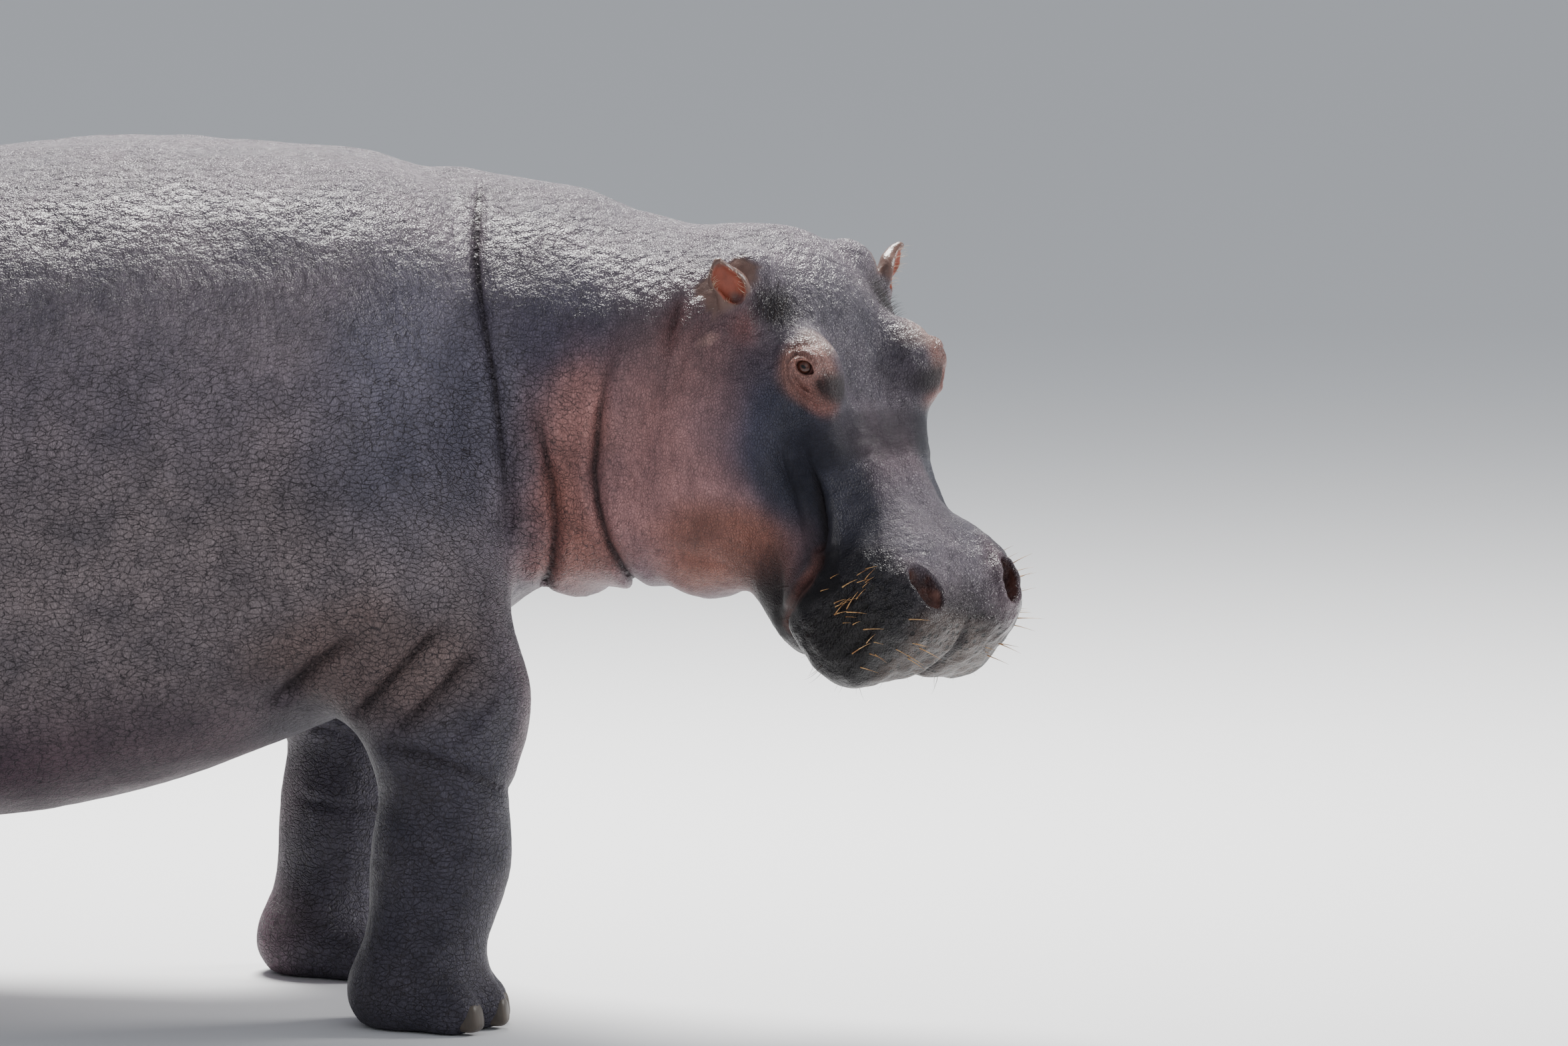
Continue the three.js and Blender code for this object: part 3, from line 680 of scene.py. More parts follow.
wander = np.stack([knobs(points, 130, seed) for seed in (11, 23, 37)], 1) * 46
drift = points + wander
hd, ed = in_half_head(drift), in_eye(in_half_head(points + 0.16 * wander))
x, y, z = drift.T
front = ease(h[:, 0], -260, -60) * near(h, (100, 0, -150), 520)
on_neck = ease(x, 90, 160)
lip_edge = distance_to_path(h[:, [0, 2]], HEAD_FOLDS[2][0])[0]
eye_rim = np.abs(e[:, 1]) / 11 + ((e[:, 0] - 2) / 18) ** 2
COAT = [
    ("#6f6771", 1 + 0 * x),
    ("#7b7170", 0.55 * (1 - ease(z, 780, 1080)) * (1 - ease(x, 20, 120))),
    ("#59404e", (1 - ease(z, 330, 620)) * (1 - ease(x, -330, -120))),
    ("#5c5d70", 0.7 * patch(drift, (-20, -420, 1000), (150, 240, 230), 0.6)),
    ("#45434f", (1 - ease(z, 430, 700)) * ease(x, -330, -200)),
    ("#4b454f", (1 - ease(z, 200, 520)) * (1 - ease(x, -1250, -1100))),
    ("#77625c", 0.6 * patch(drift, (-130, -440, 590), (170, 140, 90))),
    ("#6c5a63", on_neck * (1 - ease(z, 1040, 1180))),
    ("#a47672", 0.9 * patch(drift, (218, -340, 960), (50, 260, 150), 0.6)),
    ("#454357", 0.75 * patch(drift, (190, -330, 1130), (110, 200, 80), 0.6)),
    ("#96645a", 0.85 * patch(drift, (215, -280, 790), (62, 260, 130), 0.6)),
    ("#644a4e", 0.8 * patch(drift, (390, -430, 1100), (110, 150, 110), 0.6)),
    ("#a67b7a", 0.9 * patch(drift, (350, -400, 910), (120, 170, 165), 0.6)),
    ("#8a5a4c", 0.85 * patch(drift, (450, -390, 770), (120, 160, 70), 0.6)),
    # Painted shade: the side of the face below the eye and the side of the snout, their own slate grey darkened
    # further.
    ("#34374a", 0.95 * front * patch(hd, (70, 150, -130), (150, 90, 80), 0.5)),
    ("#30323f", 0.95 * front * patch(hd, (190, 118, -100), (230, 78, 110), 0.4)),
    ("#57555f", 0.8 * front * patch(hd, (-60, 0, -20), (200, 110, 110), 0.5)),
    # Painted light: the top of the snout is lighter than its sides.
    ("#716f79", 0.7 * front * patch(hd, (300, 10, -10), (120, 75, 60), 0.5)),
    ("#191920", ease(hd[:, 0], 245, 310) * front * ease(h[:, 1], 90, 150)),
    ("#1d1c22", 0.92 * ease(hd[:, 0], 330, 400) * front * (1 - 0.6 * ease(hd[:, 2], -40, 10))),
    ("#0b0909", 0.95 * ease(hd[:, 0], 300, 400) * front * (1 - ease(hd[:, 2], -120, -20))),
    ("#4a3c34", 0.7 * ease(hd[:, 0], 425, 462) * front * (1 - ease(hd[:, 2], -60, -5)) * (1 - ease(h[:, 1], 105, 140))),
    # Painted shade: near-black down the cleft in the middle of the muzzle front.
    ("#0b0808", 0.9 * front * (1 - ease(h[:, 1], 5, 16)) * ease(h[:, 0], 420, 460) * (1 - ease(h[:, 2], -80, -30))),
    ("#141112", 0.96 * patch(hd, (290, 110, -290), (70, 150, 90), 0.5)),
    ("#7e544e", 0.75 * (1 - ease(lip_edge, 6, 20)) * front * ease(h[:, 1], 60, 100) * (1 - ease(h[:, 2], -140, -110))),
    ("#98594f", 0.9 * patch(hd, (-150, 150, -165), (60, 50, 62), 0.5)),
    ("#d9aea2", 0.9 * patch(h, (-118, 172, -140), (14, 40, 22), 0.4)),
    ("#201c20", 0.9 * patch(h, (-128, 135, -36), (38, 44, 30), 0.5)),
    ("#87635c", 0.95 * (1 - ease(np.hypot((ed[:, 0] - 6) / 1.1, ed[:, 1] + 6), 36, 66)) * ease(e[:, 2], -20, 4)),
    ("#845850", 0.85 * patch(ed, (52, -34, 10), (48, 24, 40), 0.5)),
    ("#b59c92", 0.5 * patch(ed, (-6, 44, 0), (36, 13, 40), 0.6)),
    # Painted shade: dark in the hollow before each eye.
    ("#1d191c", 0.92 * patch(ed, (60, -4, -4), (27, 24, 45), 0.6)),
    ("#b98a80", 0.8 * (1 - ease(np.abs(eye_rim - 1.1), 0.1, 0.4)) * (e[:, 2] > 5)),
    ("#1a1516", 0.9 * (1 - ease(np.abs(eye_rim - 0.74), 0.02, 0.14)) * (e[:, 2] > 5)),
    ("#4c332f", 1 - ease(pit, -1, 4)),
    ("#80605a", 0.8 * (1 - ease(pit, -2, 2)) * ease(-h[:, 1], -92, -80)),
    ("#6a544e", on_ear),
    ("#8c4c3d", on_ear * (1 - ease(ear_hollow(ear_place), 0.5, 3)) * ease(ear_place[:, 2], 8, 30)),
]
colour = np.zeros((len(points), 3))
for code, share in COAT:
    share = np.clip(share, 0, 1)[:, None]
    colour = colour * (1 - share) + srgb(code) * share

wet = ease(z, 860, 1080) * ease(normals[:, 2], 0.05, 0.5)
wet = wet + 0.7 * front * ease(h[:, 2], -110, -20) + patch(h, (-128, 135, -36), (44, 50, 36), 0.4)
wet = wet + 0.3 * front * ease(h[:, 0], 280, 340) - patch(e, (60, -4, -4), (34, 30, 50), 0.4)
skin_marks = {
    # painted shade in the creases
    "fold": fold,
    "wet": wet,
    "whiskered": front * ease(h[:, 0], 320, 380) * (1 - ease(h[:, 2], -50, 5)) * ease(pit, 8, 18),
    "scaly": np.maximum(1 - 0.85 * ease(x, 60, 420), 1 - ease(z, 480, 700)) * (1 - 0.5 * ease(z, 1000, 1200)),
    "smooth": np.maximum(on_ear, 1 - ease(pit, -3, 3)),
    "snout": front * ease(h[:, 0], 60, 160) * np.maximum(ease(h[:, 2], -150, -90), ease(h[:, 0], 290, 350)),
}
for name, share in skin_marks.items():
    whole_skin.attributes.new(name, "FLOAT", "POINT").data.foreach_set("value", np.clip(share, 0, 1))
coat_colour = whole_skin.attributes.new("coat colour", "FLOAT_COLOR", "POINT")
coat_colour.data.foreach_set("color", np.column_stack([colour, np.ones(len(points))]).ravel())


def put(tree, kind, settings=None, **inputs):
    """Adds a node. An input is named by its socket, or by its number after an underscore."""
    node = tree.nodes.new(kind)
    for name, value in (settings or {}).items():
        setattr(node, name, value)
    for name, value in inputs.items():
        socket = node.inputs[int(name[1:]) if name[0] == "_" else name.replace("_", " ")]
        if isinstance(value, bpy.types.NodeSocket):
            tree.links.new(value, socket)
        else:
            socket.default_value = value
    return node


def shader(name):
    material = bpy.data.materials.new(name)
    material.use_nodes = True
    material.node_tree.nodes.clear()
    tree = material.node_tree
    surface = put(tree, "ShaderNodeBsdfPrincipled")
    put(tree, "ShaderNodeOutputMaterial", Surface=surface.outputs["BSDF"])
    return material, tree, surface


def mark(tree, name):
    return put(tree, "ShaderNodeAttribute", {"attribute_name": name}).outputs["Fac"]


def mix(tree, share, a, b, mode="MIX"):
    node = put(tree, "ShaderNodeMix", {"data_type": "RGBA", "blend_type": mode}, _0=share)
    for socket, value in ((node.inputs[6], a), (node.inputs[7], b)):
        if isinstance(value, bpy.types.NodeSocket):
            tree.links.new(value, socket)
        else:
            socket.default_value = value
    return node.outputs[2]


def maths(tree, operation, a, b=0.0, c=0.0):
    return put(tree, "ShaderNodeMath", {"operation": operation}, _0=a, _1=b, _2=c).outputs[0]


def vectors(tree, operation, output="Vector", **inputs):
    return put(tree, "ShaderNodeVectorMath", {"operation": operation}, **inputs).outputs[output]


def stretched(tree, place, scale):
    return put(tree, "ShaderNodeMapping", Vector=place, Scale=scale).outputs[0]


def cracks(tree, place, scale):
    """How far each place is from the nearest line between cells."""
    return put(tree, "ShaderNodeTexVoronoi", {"feature": "DISTANCE_TO_EDGE"}, Vector=place, Scale=scale).outputs[0]


def remap(tree, value, low, high, to_low=0.0, to_high=1.0):
    return put(tree, "ShaderNodeMapRange", _0=value, _1=low, _2=high, _3=to_low, _4=to_high).outputs[0]


# Mud: dried silt in patches, on skin and nails alike.
mud = bpy.data.node_groups.new("mud", "ShaderNodeTree")
for name, direction in (("Amount", "INPUT"), ("Size", "INPUT"), ("Mask", "OUTPUT")):
    mud.interface.new_socket(name, in_out=direction, socket_type="NodeSocketFloat")
mud_in, mud_out = mud.nodes.new("NodeGroupInput"), mud.nodes.new("NodeGroupOutput")
mud_where = put(mud, "ShaderNodeTexCoord").outputs["Object"]
mud_patches = put(mud, "ShaderNodeTexNoise", Vector=mud_where, Scale=mud_in.outputs["Size"], Detail=6.0, Roughness=0.65)
mud_mask = remap(mud, mud_patches.outputs["Fac"], 0.5, 0.72)
mud.links.new(maths(mud, "MULTIPLY", mud_mask, mud_in.outputs["Amount"]), mud_out.inputs["Mask"])


def mud_mask_in(tree, amount, size):
    node = tree.nodes.new("ShaderNodeGroup")
    node.node_tree = mud
    node.inputs["Amount"].default_value, node.inputs["Size"].default_value = amount, size
    return node.outputs["Mask"]


skin_material, tree, surface = shader("hippopotamus skin")
where = put(tree, "ShaderNodeTexCoord").outputs["Object"]
mottle = put(tree, "ShaderNodeTexNoise", Vector=where, Scale=9.0, Detail=5.0, Roughness=0.65).outputs["Fac"]
sway = put(tree, "ShaderNodeTexNoise", Vector=where, Scale=22.0, Detail=1.0).outputs["Color"]
swayed = vectors(tree, "MULTIPLY_ADD", _0=sway, _1=(0.018, 0.018, 0.018), _2=where)
# Fine cells everywhere, and larger flat plates on the trunk and legs.
cell_line = remap(tree, cracks(tree, stretched(tree, swayed, (1.25, 1.0, 0.8)), 200.0), 0.22, 0.0)
plate_line = remap(tree, cracks(tree, stretched(tree, swayed, (0.75, 0.9, 1.3)), 98.0), 0.13, 0.0)
plate_line = maths(tree, "MULTIPLY", plate_line, mark(tree, "scaly"))
grain = put(tree, "ShaderNodeTexNoise", Vector=where, Scale=95.0, Detail=3.0, Roughness=0.7).outputs["Fac"]
# Fine wrinkles hang down the body, and run across the snout.
hanging = stretched(tree, swayed, (80.0, 60.0, 26.0))
along_snout, across_snout, up_snout = (
    vectors(tree, "DOT_PRODUCT", "Value", _0=swayed, _1=tuple(axis * often))
    for axis, often in ((FORWARD, 92), (LEFT, 24), (UP, 60))
)
crossing = put(tree, "ShaderNodeCombineXYZ", X=along_snout, Y=across_snout, Z=up_snout).outputs[0]
lying = put(tree, "ShaderNodeMix", {"data_type": "VECTOR"}, _0=mark(tree, "snout"), _4=hanging, _5=crossing).outputs[1]
wrinkles = put(tree, "ShaderNodeTexNoise", Vector=lying, Scale=1.0, Detail=2.0, Roughness=0.6).outputs["Fac"]
beads = put(tree, "ShaderNodeTexVoronoi", {"feature": "SMOOTH_F1"}, Vector=swayed, Scale=62.0, Smoothness=0.5)
beads = beads.outputs["Distance"]
follicles = put(tree, "ShaderNodeTexVoronoi", Vector=where, Scale=82.0, Randomness=0.75).outputs["Distance"]
follicle = maths(tree, "MULTIPLY", mark(tree, "whiskered"), remap(tree, follicles, 0.42, 0.26))

tint = put(tree, "ShaderNodeAttribute", {"attribute_name": "coat colour"}).outputs["Color"]
blotch = put(tree, "ShaderNodeValToRGB", Fac=mottle)
blotch.color_ramp.elements[0].position, blotch.color_ramp.elements[0].color = 0.3, (0.66, 0.67, 0.70, 1)
blotch.color_ramp.elements[1].position, blotch.color_ramp.elements[1].color = 0.7, (1.3, 1.25, 1.2, 1)
tint = mix(tree, 1.0, tint, blotch.outputs["Color"], "MULTIPLY")
# Painted shade and light: the colour is darker in the hollows of the fine wrinkles and lighter on their ridges.
shade = remap(tree, wrinkles, 0.35, 0.65, 0.88, 1.1)
tint = mix(tree, 1.0, tint, put(tree, "ShaderNodeCombineColor", _0=shade, _1=shade, _2=shade).outputs[0], "MULTIPLY")
lines = maths(tree, "MULTIPLY_ADD", plate_line, 0.75, maths(tree, "MULTIPLY", cell_line, 0.5))
lines = maths(tree, "MULTIPLY", lines, remap(tree, mark(tree, "smooth"), 0.0, 1.0, 1.0, 0.2))
tint = mix(tree, maths(tree, "MULTIPLY", lines, remap(tree, grain, 0.3, 0.65, 0.3, 1.0)), tint, (0.02, 0.016, 0.02, 1))
tint = mix(tree, mud_mask_in(tree, 0.12, 3.5), tint, (0.12, 0.095, 0.08, 1))
# Painted shade: the creases are darkened to near-black by the fold share.
tint = mix(tree, maths(tree, "MULTIPLY", mark(tree, "fold"), 0.85), tint, (0.015, 0.010, 0.012, 1))
tint = mix(tree, follicle, tint, (0.005, 0.004, 0.004, 1))
tree.links.new(tint, surface.inputs["Base Color"])

height = maths(tree, "MULTIPLY_ADD", lines, -1.1, maths(tree, "MULTIPLY", mottle, 2.0))
height = maths(tree, "MULTIPLY_ADD", grain, remap(tree, mark(tree, "wet"), 0.0, 1.0, 0.9, 3.2), height)
height = maths(tree, "MULTIPLY_ADD", follicle, -0.6, height)
height = maths(tree, "MULTIPLY_ADD", wrinkles, remap(tree, mark(tree, "snout"), 0.0, 1.0, 2.6, 4.0), height)
height = maths(tree, "MULTIPLY_ADD", beads, maths(tree, "MULTIPLY", mark(tree, "wet"), -3.6), height)
height = maths(tree, "MULTIPLY", height, remap(tree, mark(tree, "smooth"), 0.0, 1.0, 1.0, 0.25))
relief = put(tree, "ShaderNodeBump", Strength=1.0, Distance=0.0016, Height=height)
tree.links.new(relief.outputs[0], surface.inputs["Normal"])
gloss = maths(tree, "MULTIPLY_ADD", mark(tree, "wet"), -0.3, remap(tree, mottle, 0.3, 0.7, 0.62, 0.5))
tree.links.new(gloss, surface.inputs["Roughness"])
surface.inputs["Specular IOR Level"].default_value = 0.32
whole_skin.materials.append(skin_material)

limbs = [f"{side}_{pair}" for side in ("right", "left") for pair in ("fore", "hind")]
legs_and_feet = [one_limb + part for one_limb in limbs for part in ("leg", "foot")]
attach(skin, "root")
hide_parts("trunk", "neck", "head", "lower_jaw", "right_ear", "left_ear", "tail", *legs_and_feet)


# ---- Eyes ----
# Glassy balls in the sockets, with a dark brown iris, a long pupil and a clear wet cornea that
# bulges a little. Each ball is turned so that its pole looks out between the lids.
PUPIL_HALF = (0.2, 0.12)


def round_ball(segments, rings):
    """A ball of radius 1, as its points and its triangles."""
    ball = bmesh.new()
    bmesh.ops.create_uvsphere(ball, u_segments=segments, v_segments=rings, radius=1)
    bmesh.ops.triangulate(ball, faces=ball.faces[:])
    ball_triangles = np.array([[loop.vert.index for loop in face.loops] for face in ball.faces])
    ball_points = np.array([v.co[:] for v in ball.verts])
    ball.free()
    return ball_points, ball_triangles


def all_in_one(name, parts):
    """One piece made of several closed meshes."""
    counts = np.cumsum([0] + [len(part_points) for part_points, _ in parts])
    shifted = [part_triangles + before for (_, part_triangles), before in zip(parts, counts)]
    return mesh_piece(name, np.concatenate([part_points for part_points, _ in parts]), np.concatenate(shifted))


eyeball, eye_triangles = round_ball(64, 48)
off_axis = np.arccos(np.clip(eyeball[:, 2], -1, 1))
across_pupil = np.hypot(eyeball[:, 0] / PUPIL_HALF[0], eyeball[:, 1] / PUPIL_HALF[1])
swell = EYE_RADIUS - 0.6 + 1.4 * np.exp(-((off_axis / 0.5) ** 4))
eyes = all_in_one("eyes", list(on_both_sides(EYE_MIDDLE, eye_axes, eyeball * swell[:, None], eye_triangles)))
for name, share in (("off axis", off_axis), ("pupil", across_pupil)):
    eyes.data.attributes.new(name, "FLOAT", "POINT").data.foreach_set("value", np.tile(share, 2))

eye_material, tree, surface = shader("wet eye")
where = put(tree, "ShaderNodeTexCoord").outputs["Object"]
streaks = put(tree, "ShaderNodeTexNoise", Vector=where, Scale=420.0, Detail=3.0)
off = mark(tree, "off axis")
iris = mix(tree, streaks.outputs["Fac"], (0.022, 0.006, 0.004, 1), (0.11, 0.034, 0.02, 1))
iris = mix(tree, remap(tree, mark(tree, "pupil"), 1.15, 0.9), iris, (0.002, 0.002, 0.003, 1))
iris = mix(tree, remap(tree, off, 0.46, 0.56), iris, (0.012, 0.006, 0.006, 1))
iris = mix(tree, remap(tree, off, 0.58, 0.68), iris, (0.13, 0.055, 0.05, 1))
tree.links.new(iris, surface.inputs["Base Color"])
surface.inputs["Roughness"].default_value = 0.3
surface.inputs["Specular IOR Level"].default_value = 0.15
surface.inputs["Coat Weight"].default_value = 0.7
surface.inputs["Coat Roughness"].default_value = 0.03
eyes.data.materials.append(eye_material)
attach(eyes, "root")
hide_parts("right_eye", "left_eye")


# ---- Nails ----
# Four broad blunt nails on each foot, of dull dark horn, worn flat at the tip and set in the
# front of each toe. All sixteen are one piece.
NAIL_HALF, NAIL_LIFT, NAIL_FORWARD = np.array([20.0, 26.0, 24.0]), 29, 45
NAIL_SQUARENESS, NAIL_TAPER = 3.2, 0.2
FEET = [(-20, -330), (-185, 330), (-1410, -312), (-1630, 312)]
nail_form, nail_triangles = round_ball(28, 18)
nail_form /= (np.abs(nail_form) ** NAIL_SQUARENESS).sum(1, keepdims=True) ** (1 / NAIL_SQUARENESS)
nail_form[:, :2] *= 1 - NAIL_TAPER * ease(nail_form[:, 2], -1, 1)[:, None]
nails_on_feet = []
for foot_x, foot_y in FEET:
    for side, back, turn in TOES:
        turned = nail_form * NAIL_HALF @ turning((0, 0, turn)).T
        nail_x = foot_x + 62 - back + NAIL_FORWARD * cos(radians(turn))
        nail_y = foot_y + side + NAIL_FORWARD * sin(radians(turn))
        nails_on_feet.append((turned + (nail_x, nail_y, NAIL_LIFT) + STANDS_AT, nail_triangles))
nails = all_in_one("nails", nails_on_feet)
nail_material, tree, surface = shader("nail horn")
where = put(tree, "ShaderNodeTexCoord").outputs["Object"]
streaked = stretched(tree, where, (60.0, 60.0, 9.0))
horn = put(tree, "ShaderNodeTexNoise", Vector=streaked, Scale=3.0, Detail=5.0).outputs["Fac"]
tint = mix(tree, horn, (0.022, 0.017, 0.014, 1), (0.10, 0.077, 0.06, 1))
tint = mix(tree, mud_mask_in(tree, 0.5, 14.0), tint, (0.12, 0.095, 0.07, 1))
tree.links.new(tint, surface.inputs["Base Color"])
tree.links.new(remap(tree, horn, 0.3, 0.7, 0.35, 0.6), surface.inputs["Roughness"])
relief = put(tree, "ShaderNodeBump", Strength=0.5, Distance=0.001, Height=horn)
tree.links.new(relief.outputs[0], surface.inputs["Normal"])
nails.data.materials.append(nail_material)
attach(nails, "root")
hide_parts(*[f"{one_limb}foot_nail_{number}" for one_limb in limbs for number in range(1, 5)])


# ---- Bristles and hair ----
# Stiff split bristles stand on the muzzle, thin black ones on the lips and chin, pale fringes on the
# rims of the ears, dark hair before them and coarse bristles on the tail. All grow from the skin.
growing = bpy.data.node_groups.new("bristles on skin", "GeometryNodeTree")
growing.is_modifier = True
growing.interface.new_socket("Skin", in_out="INPUT", socket_type="NodeSocketGeometry")
for name in ("Per Square Metre", "Length", "Thickness", "Bend"):
    growing.interface.new_socket(name, in_out="INPUT", socket_type="NodeSocketFloat")
growing.interface.new_socket("Seed", in_out="INPUT", socket_type="NodeSocketInt")
growing.interface.new_socket("Finish", in_out="INPUT", socket_type="NodeSocketMaterial")
growing.interface.new_socket("Bristles", in_out="OUTPUT", socket_type="NodeSocketGeometry")
given, grown = growing.nodes.new("NodeGroupInput").outputs, growing.nodes.new("NodeGroupOutput")


def kept(name, kind="FLOAT_VECTOR"):
    return put(growing, "GeometryNodeInputNamedAttribute", {"data_type": kind}, Name=name).outputs[0]


def keep(geometry, name, value, kind):
    settings = {"data_type": kind, "domain": "CORNER"}
    stored = put(growing, "GeometryNodeStoreNamedAttribute", settings, Geometry=geometry, Name=name, Value=value)
    return stored.outputs[0]


# Roots are spread over the skin, and each bristle leans the way the hair lies and strays a little.
STRAY, SMALLEST, LARGEST = 0.32, 0.5, 1.25
where_dense = maths(growing, "MULTIPLY", kept("share", "FLOAT"), given["Per Square Metre"])
roots = put(growing, "GeometryNodeDistributePointsOnFaces", Mesh=given["Skin"], Density=where_dense, Seed=given["Seed"])
lean = vectors(growing, "ADD", _0=roots.outputs["Normal"], _1=kept("lie"))
stray = put(growing, "FunctionNodeRandomValue", {"data_type": "FLOAT_VECTOR"},
            _0=(-STRAY, -STRAY, -STRAY), _1=(STRAY, STRAY, STRAY), Seed=given["Seed"]).outputs[0]
aim = vectors(growing, "ADD", _0=lean, _1=stray)
turn = put(growing, "FunctionNodeAlignRotationToVector", {"axis": "Z"}, Vector=aim).outputs[0]

# One bristle is a five-sided cone. Its bend is given against the length, and it is thinned after it
# is bent.
single = put(growing, "GeometryNodeMeshCone", {"fill_type": "NGON"},
             Vertices=5, _1=5, Radius_Top=0.12, Radius_Bottom=1.0, Depth=1.0)
height = put(growing, "ShaderNodeSeparateXYZ", Vector=put(growing, "GeometryNodeInputPosition").outputs[0]).outputs["Z"]
push = maths(growing, "MULTIPLY", maths(growing, "MULTIPLY", height, height), given["Bend"])
push = maths(growing, "DIVIDE", maths(growing, "MULTIPLY", push, given["Length"]), given["Thickness"])
sideways = put(growing, "ShaderNodeCombineXYZ", X=push).outputs[0]
bent = put(growing, "GeometryNodeSetPosition", Geometry=single.outputs["Mesh"], Offset=sideways).outputs[0]
bent = keep(bent, "own place", single.outputs["UV Map"], "FLOAT_VECTOR")
size_of_each = put(growing, "FunctionNodeRandomValue", {"data_type": "FLOAT"},
                   _2=SMALLEST, _3=LARGEST, Seed=given["Seed"]).outputs[1]
full_size = put(growing, "ShaderNodeCombineXYZ", X=given["Thickness"], Y=given["Thickness"], Z=given["Length"])
scale = vectors(growing, "SCALE", _0=full_size.outputs[0], Scale=size_of_each)
placed = put(growing, "GeometryNodeInstanceOnPoints",
             Points=roots.outputs["Points"], Instance=bent, Rotation=turn, Scale=scale)
real = put(growing, "GeometryNodeRealizeInstances", Geometry=placed.outputs[0]).outputs[0]
# Each bristle takes its baked colour from a small patch at its root, on an unrolling of the skin.
patch_place = vectors(growing, "MULTIPLY_ADD", _0=kept("own place"), _1=(0.003, 0.003, 0.0), _2=kept("root place"))
real = keep(real, "OFBake", patch_place, "FLOAT2")
finished = put(growing, "GeometryNodeSetMaterial", Geometry=real, Material=given["Finish"]).outputs[0]
growing.links.new(finished, grown.inputs["Bristles"])


def bristles(name, share, lie, unrolled, finish, **sizes):
    """A piece of bristles, grown on the part of the skin that has a share of them."""
    chosen = triangles[share[triangles].mean(1) > 0.02]
    used, chosen = np.unique(chosen, return_inverse=True)
    base = mesh_piece(name, points[used] + STANDS_AT, chosen.reshape(-1, 3))
    base.data.attributes.new("share", "FLOAT", "POINT").data.foreach_set("value", share[used])
    base.data.attributes.new("lie", "FLOAT_VECTOR", "POINT").data.foreach_set("vector", lie[used].ravel())
    base.data.attributes.new("root place", "FLOAT_VECTOR", "POINT").data.foreach_set("vector", unrolled[used].ravel())
    grows = base.modifiers.new("bristles", "NODES")
    grows.node_group = growing
    given_values = {**sizes, "finish": finish}
    for item in growing.interface.items_tree:
        named = item.name.lower().replace(" ", "_")
        if item.in_out == "INPUT" and named in given_values:
            grows[item.identifier] = given_values[named]
    made = bpy.data.meshes.new_from_object(base.evaluated_get(bpy.context.evaluated_depsgraph_get()))
    base.modifiers.clear()
    base.data = made
    # The cone brings an empty material slot of its own, which nothing uses.
    while made.materials[0] is None:
        made.materials.pop(index=0)
    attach(base, "root")
    return base


def hair_material(name, root_colour, tip_colour, roughness):
    material, tree, surface = shader(name)
    where = put(tree, "ShaderNodeTexCoord").outputs["Object"]
    streak = put(tree, "ShaderNodeTexNoise", Vector=where, Scale=90.0, Detail=2.0)
    tint = mix(tree, remap(tree, streak.outputs["Fac"], 0.35, 0.65), (*srgb(root_colour), 1), (*srgb(tip_colour), 1))
    tree.links.new(tint, surface.inputs["Base Color"])
    surface.inputs["Roughness"].default_value = roughness
    return material


tan_bristle = hair_material("tan bristle", "#8a5c36", "#dcb078", 0.45)
black_bristle = hair_material("black bristle", "#120e0d", "#3a2c26", 0.35)
pale_hair = hair_material("pale ear hair", "#b79a7c", "#e6d6bf", 0.5)

normals = outwards(points, triangles)
h, ear_place = in_half_head(points), in_ear(in_half_head(points))
full_head = in_head(points)
pit = nostril_pit(h)
on_head = near(h, (150, 60, -150), 420)
round_head = np.arctan2(full_head[:, 1], full_head[:, 2] + 150) / (2 * pi)
unrolled_head = np.stack([0.5 + 0.9 * round_head, 0.5 + full_head[:, 0] / 1300, 0 * round_head], 1)
side_out = np.sign(full_head[:, 1])[:, None] * LEFT

cheek_tufts = patch(h, (376, 168, -94), (50, 50, 56), 0.3) + 0.4 * patch(h, (455, 120, -105), (34, 60, 70), 0.3)
cheek_tufts = np.clip(cheek_tufts, 0, 1) * (pit > 12)
bristles("muzzle_bristles", cheek_tufts, -0.5 * side_out + 0.25 * FORWARD + 1.1 * UP, unrolled_head, tan_bristle,
         per_square_metre=2100.0, length=0.042, thickness=0.0010, bend=0.1, seed=4)
lip_hairs = patch(h, (370, 110, -235), (110, 100, 50), 0.4) * (normals @ UP < 0.1)
bristles("lip_bristles", lip_hairs, 0 * side_out + 0.5 * FORWARD - 0.6 * UP, unrolled_head, black_bristle,
         per_square_metre=1400.0, length=0.028, thickness=0.0005, bend=0.3, seed=9)

stem_side = np.where(full_head[:, 1:2] > 0, 1, -1) * ear_stem[1] * LEFT
stem_world = stem_side + ear_stem[0] * FORWARD + ear_stem[2] * UP
hollow_edge, shell_edge = (1 - ease(np.abs(form(ear_place)), 2.2, 4.5) for form in (ear_hollow, ear_shell))
rim = hollow_edge * shell_edge * ease(ear_place[:, 2], 8, 25) * on_head
bristles("ear_fringes", rim, 0.9 * stem_world, unrolled_head, pale_hair,
         per_square_metre=90000.0, length=0.013, thickness=0.00028, bend=0.25, seed=2)
before_ear = patch(h, (-128, 135, -36), (36, 42, 28), 0.4) * (ear_place[:, 2] < 10)
bristles("hair_before_the_ears", before_ear, 1.3 * stem_world + 0.3 * UP, unrolled_head, black_bristle,
         per_square_metre=26000.0, length=0.016, thickness=0.0004, bend=0.35, seed=6)

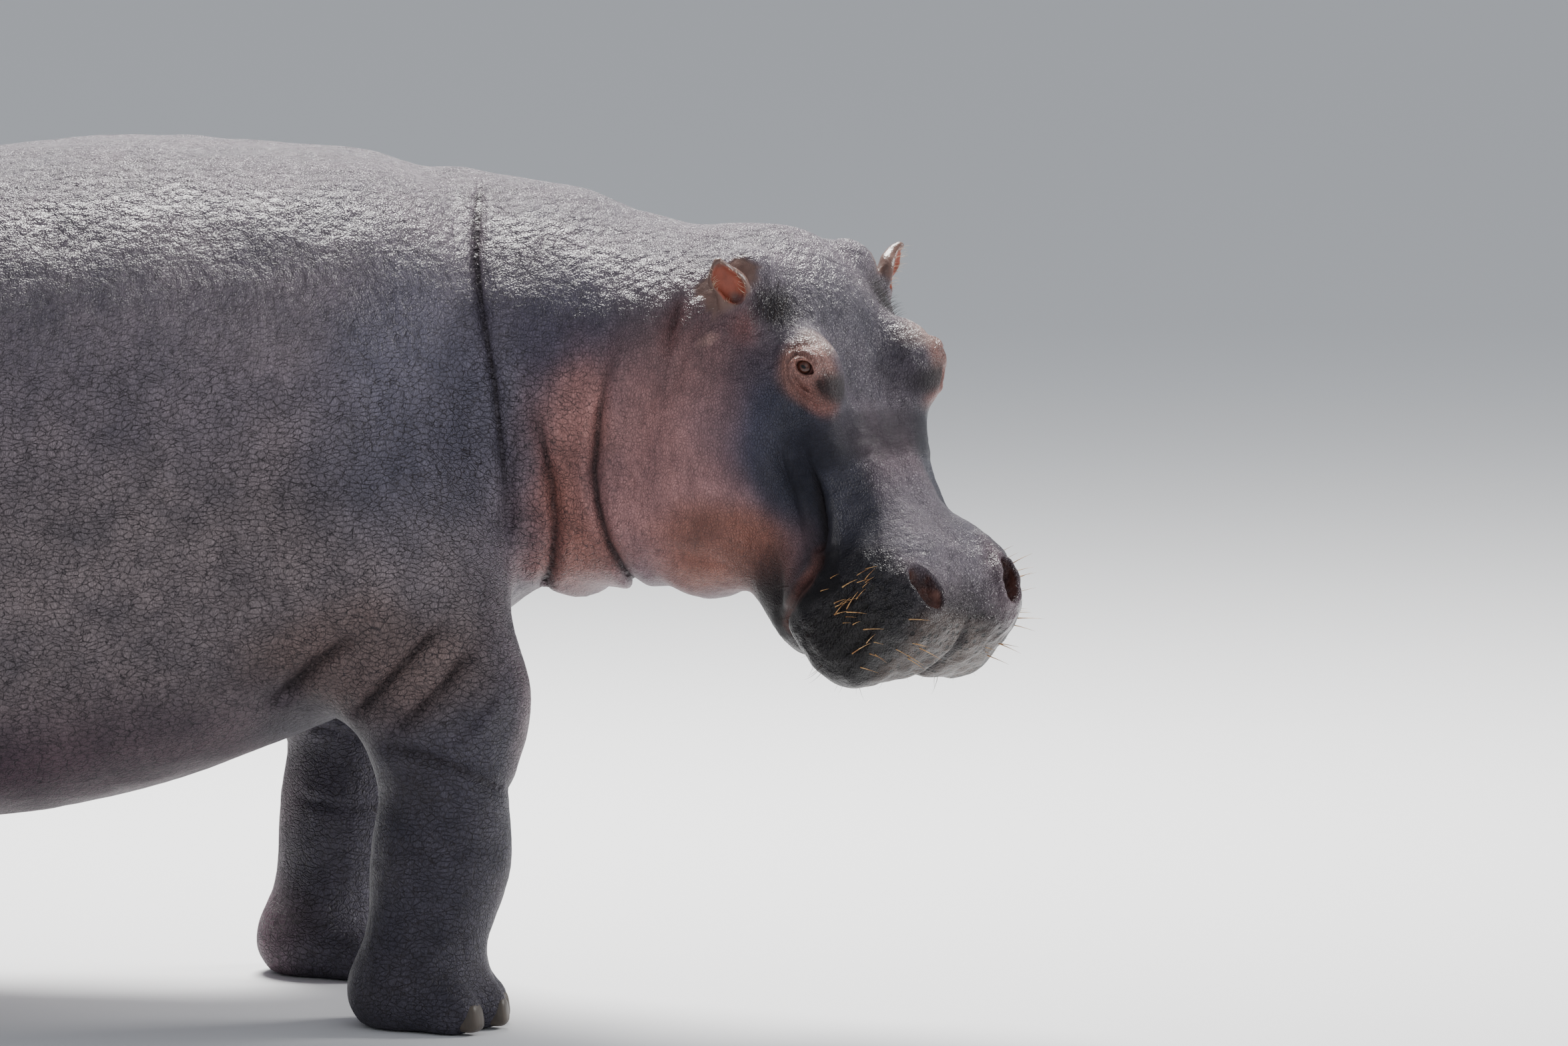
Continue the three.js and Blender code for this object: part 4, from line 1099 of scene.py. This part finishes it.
x, y, z = points.T
on_tail_tip = ease(-x, 1975, 2010) * (1 - ease(z, 640, 760)) * (z > 500) * ease(np.abs(normals[:, 0]), 0.35, 0.7)
unrolled_tail = np.stack([0.5 + np.arctan2(y, x + 2025) / 8, 0.5 + (z - 700) / 900, 0 * x], 1)
bristles("tail_bristles", on_tail_tip, 0 * points + (-0.1, 0, -1.1), unrolled_tail, black_bristle,
         per_square_metre=9000.0, length=0.034, thickness=0.0008, bend=0.2, seed=3)


# ---- Floor and light ----
# A plain pale studio floor that runs out of sight, a large soft lamp above and behind the animal
# that draws its back and brow, and weaker soft lamps from the near and front sides.
floor_mesh = bpy.data.meshes.new("floor")
floor_mesh.from_pydata([(-60, -60, 0), (60, -60, 0), (60, 60, 0), (-60, 60, 0)], [], [(0, 1, 2, 3)])
floor = bpy.data.objects.new("floor", floor_mesh)
bpy.context.scene.collection.objects.link(floor)
floor_material, tree, surface = shader("studio floor")
surface.inputs["Base Color"].default_value = (0.84, 0.85, 0.87, 1)
surface.inputs["Roughness"].default_value = 0.8
floor_mesh.materials.append(floor_material)

world = bpy.data.worlds.new("studio")
bpy.context.scene.world = world
world.use_nodes = True
world.node_tree.nodes["Background"].inputs["Color"].default_value = (0.90, 0.94, 1.0, 1)
world.node_tree.nodes["Background"].inputs["Strength"].default_value = 0.5

LAMPS = [
    ("top lamp", (0.1, 3.1, 5.6), 3.0, 1150, (1.0, 0.98, 0.94)),
    ("near lamp", (1.5, -7.5, 4.0), 5.0, 60, (1.0, 0.98, 0.96)),
    ("front lamp", (7.5, 1.2, 4.8), 3.0, 470, (1.0, 0.98, 0.96)),
]
for name, place, size, power, tone in LAMPS:
    lamp_data = bpy.data.lights.new(name, "AREA")
    lamp_data.shape, lamp_data.size, lamp_data.energy, lamp_data.color = "DISK", size, power, tone
    lamp = bpy.data.objects.new(name, lamp_data)
    lamp.location = place
    lamp.rotation_euler = (Vector((0.2, 0, 0.8)) - Vector(place)).to_track_quat("-Z", "Y").to_euler()
    bpy.context.scene.collection.objects.link(lamp)
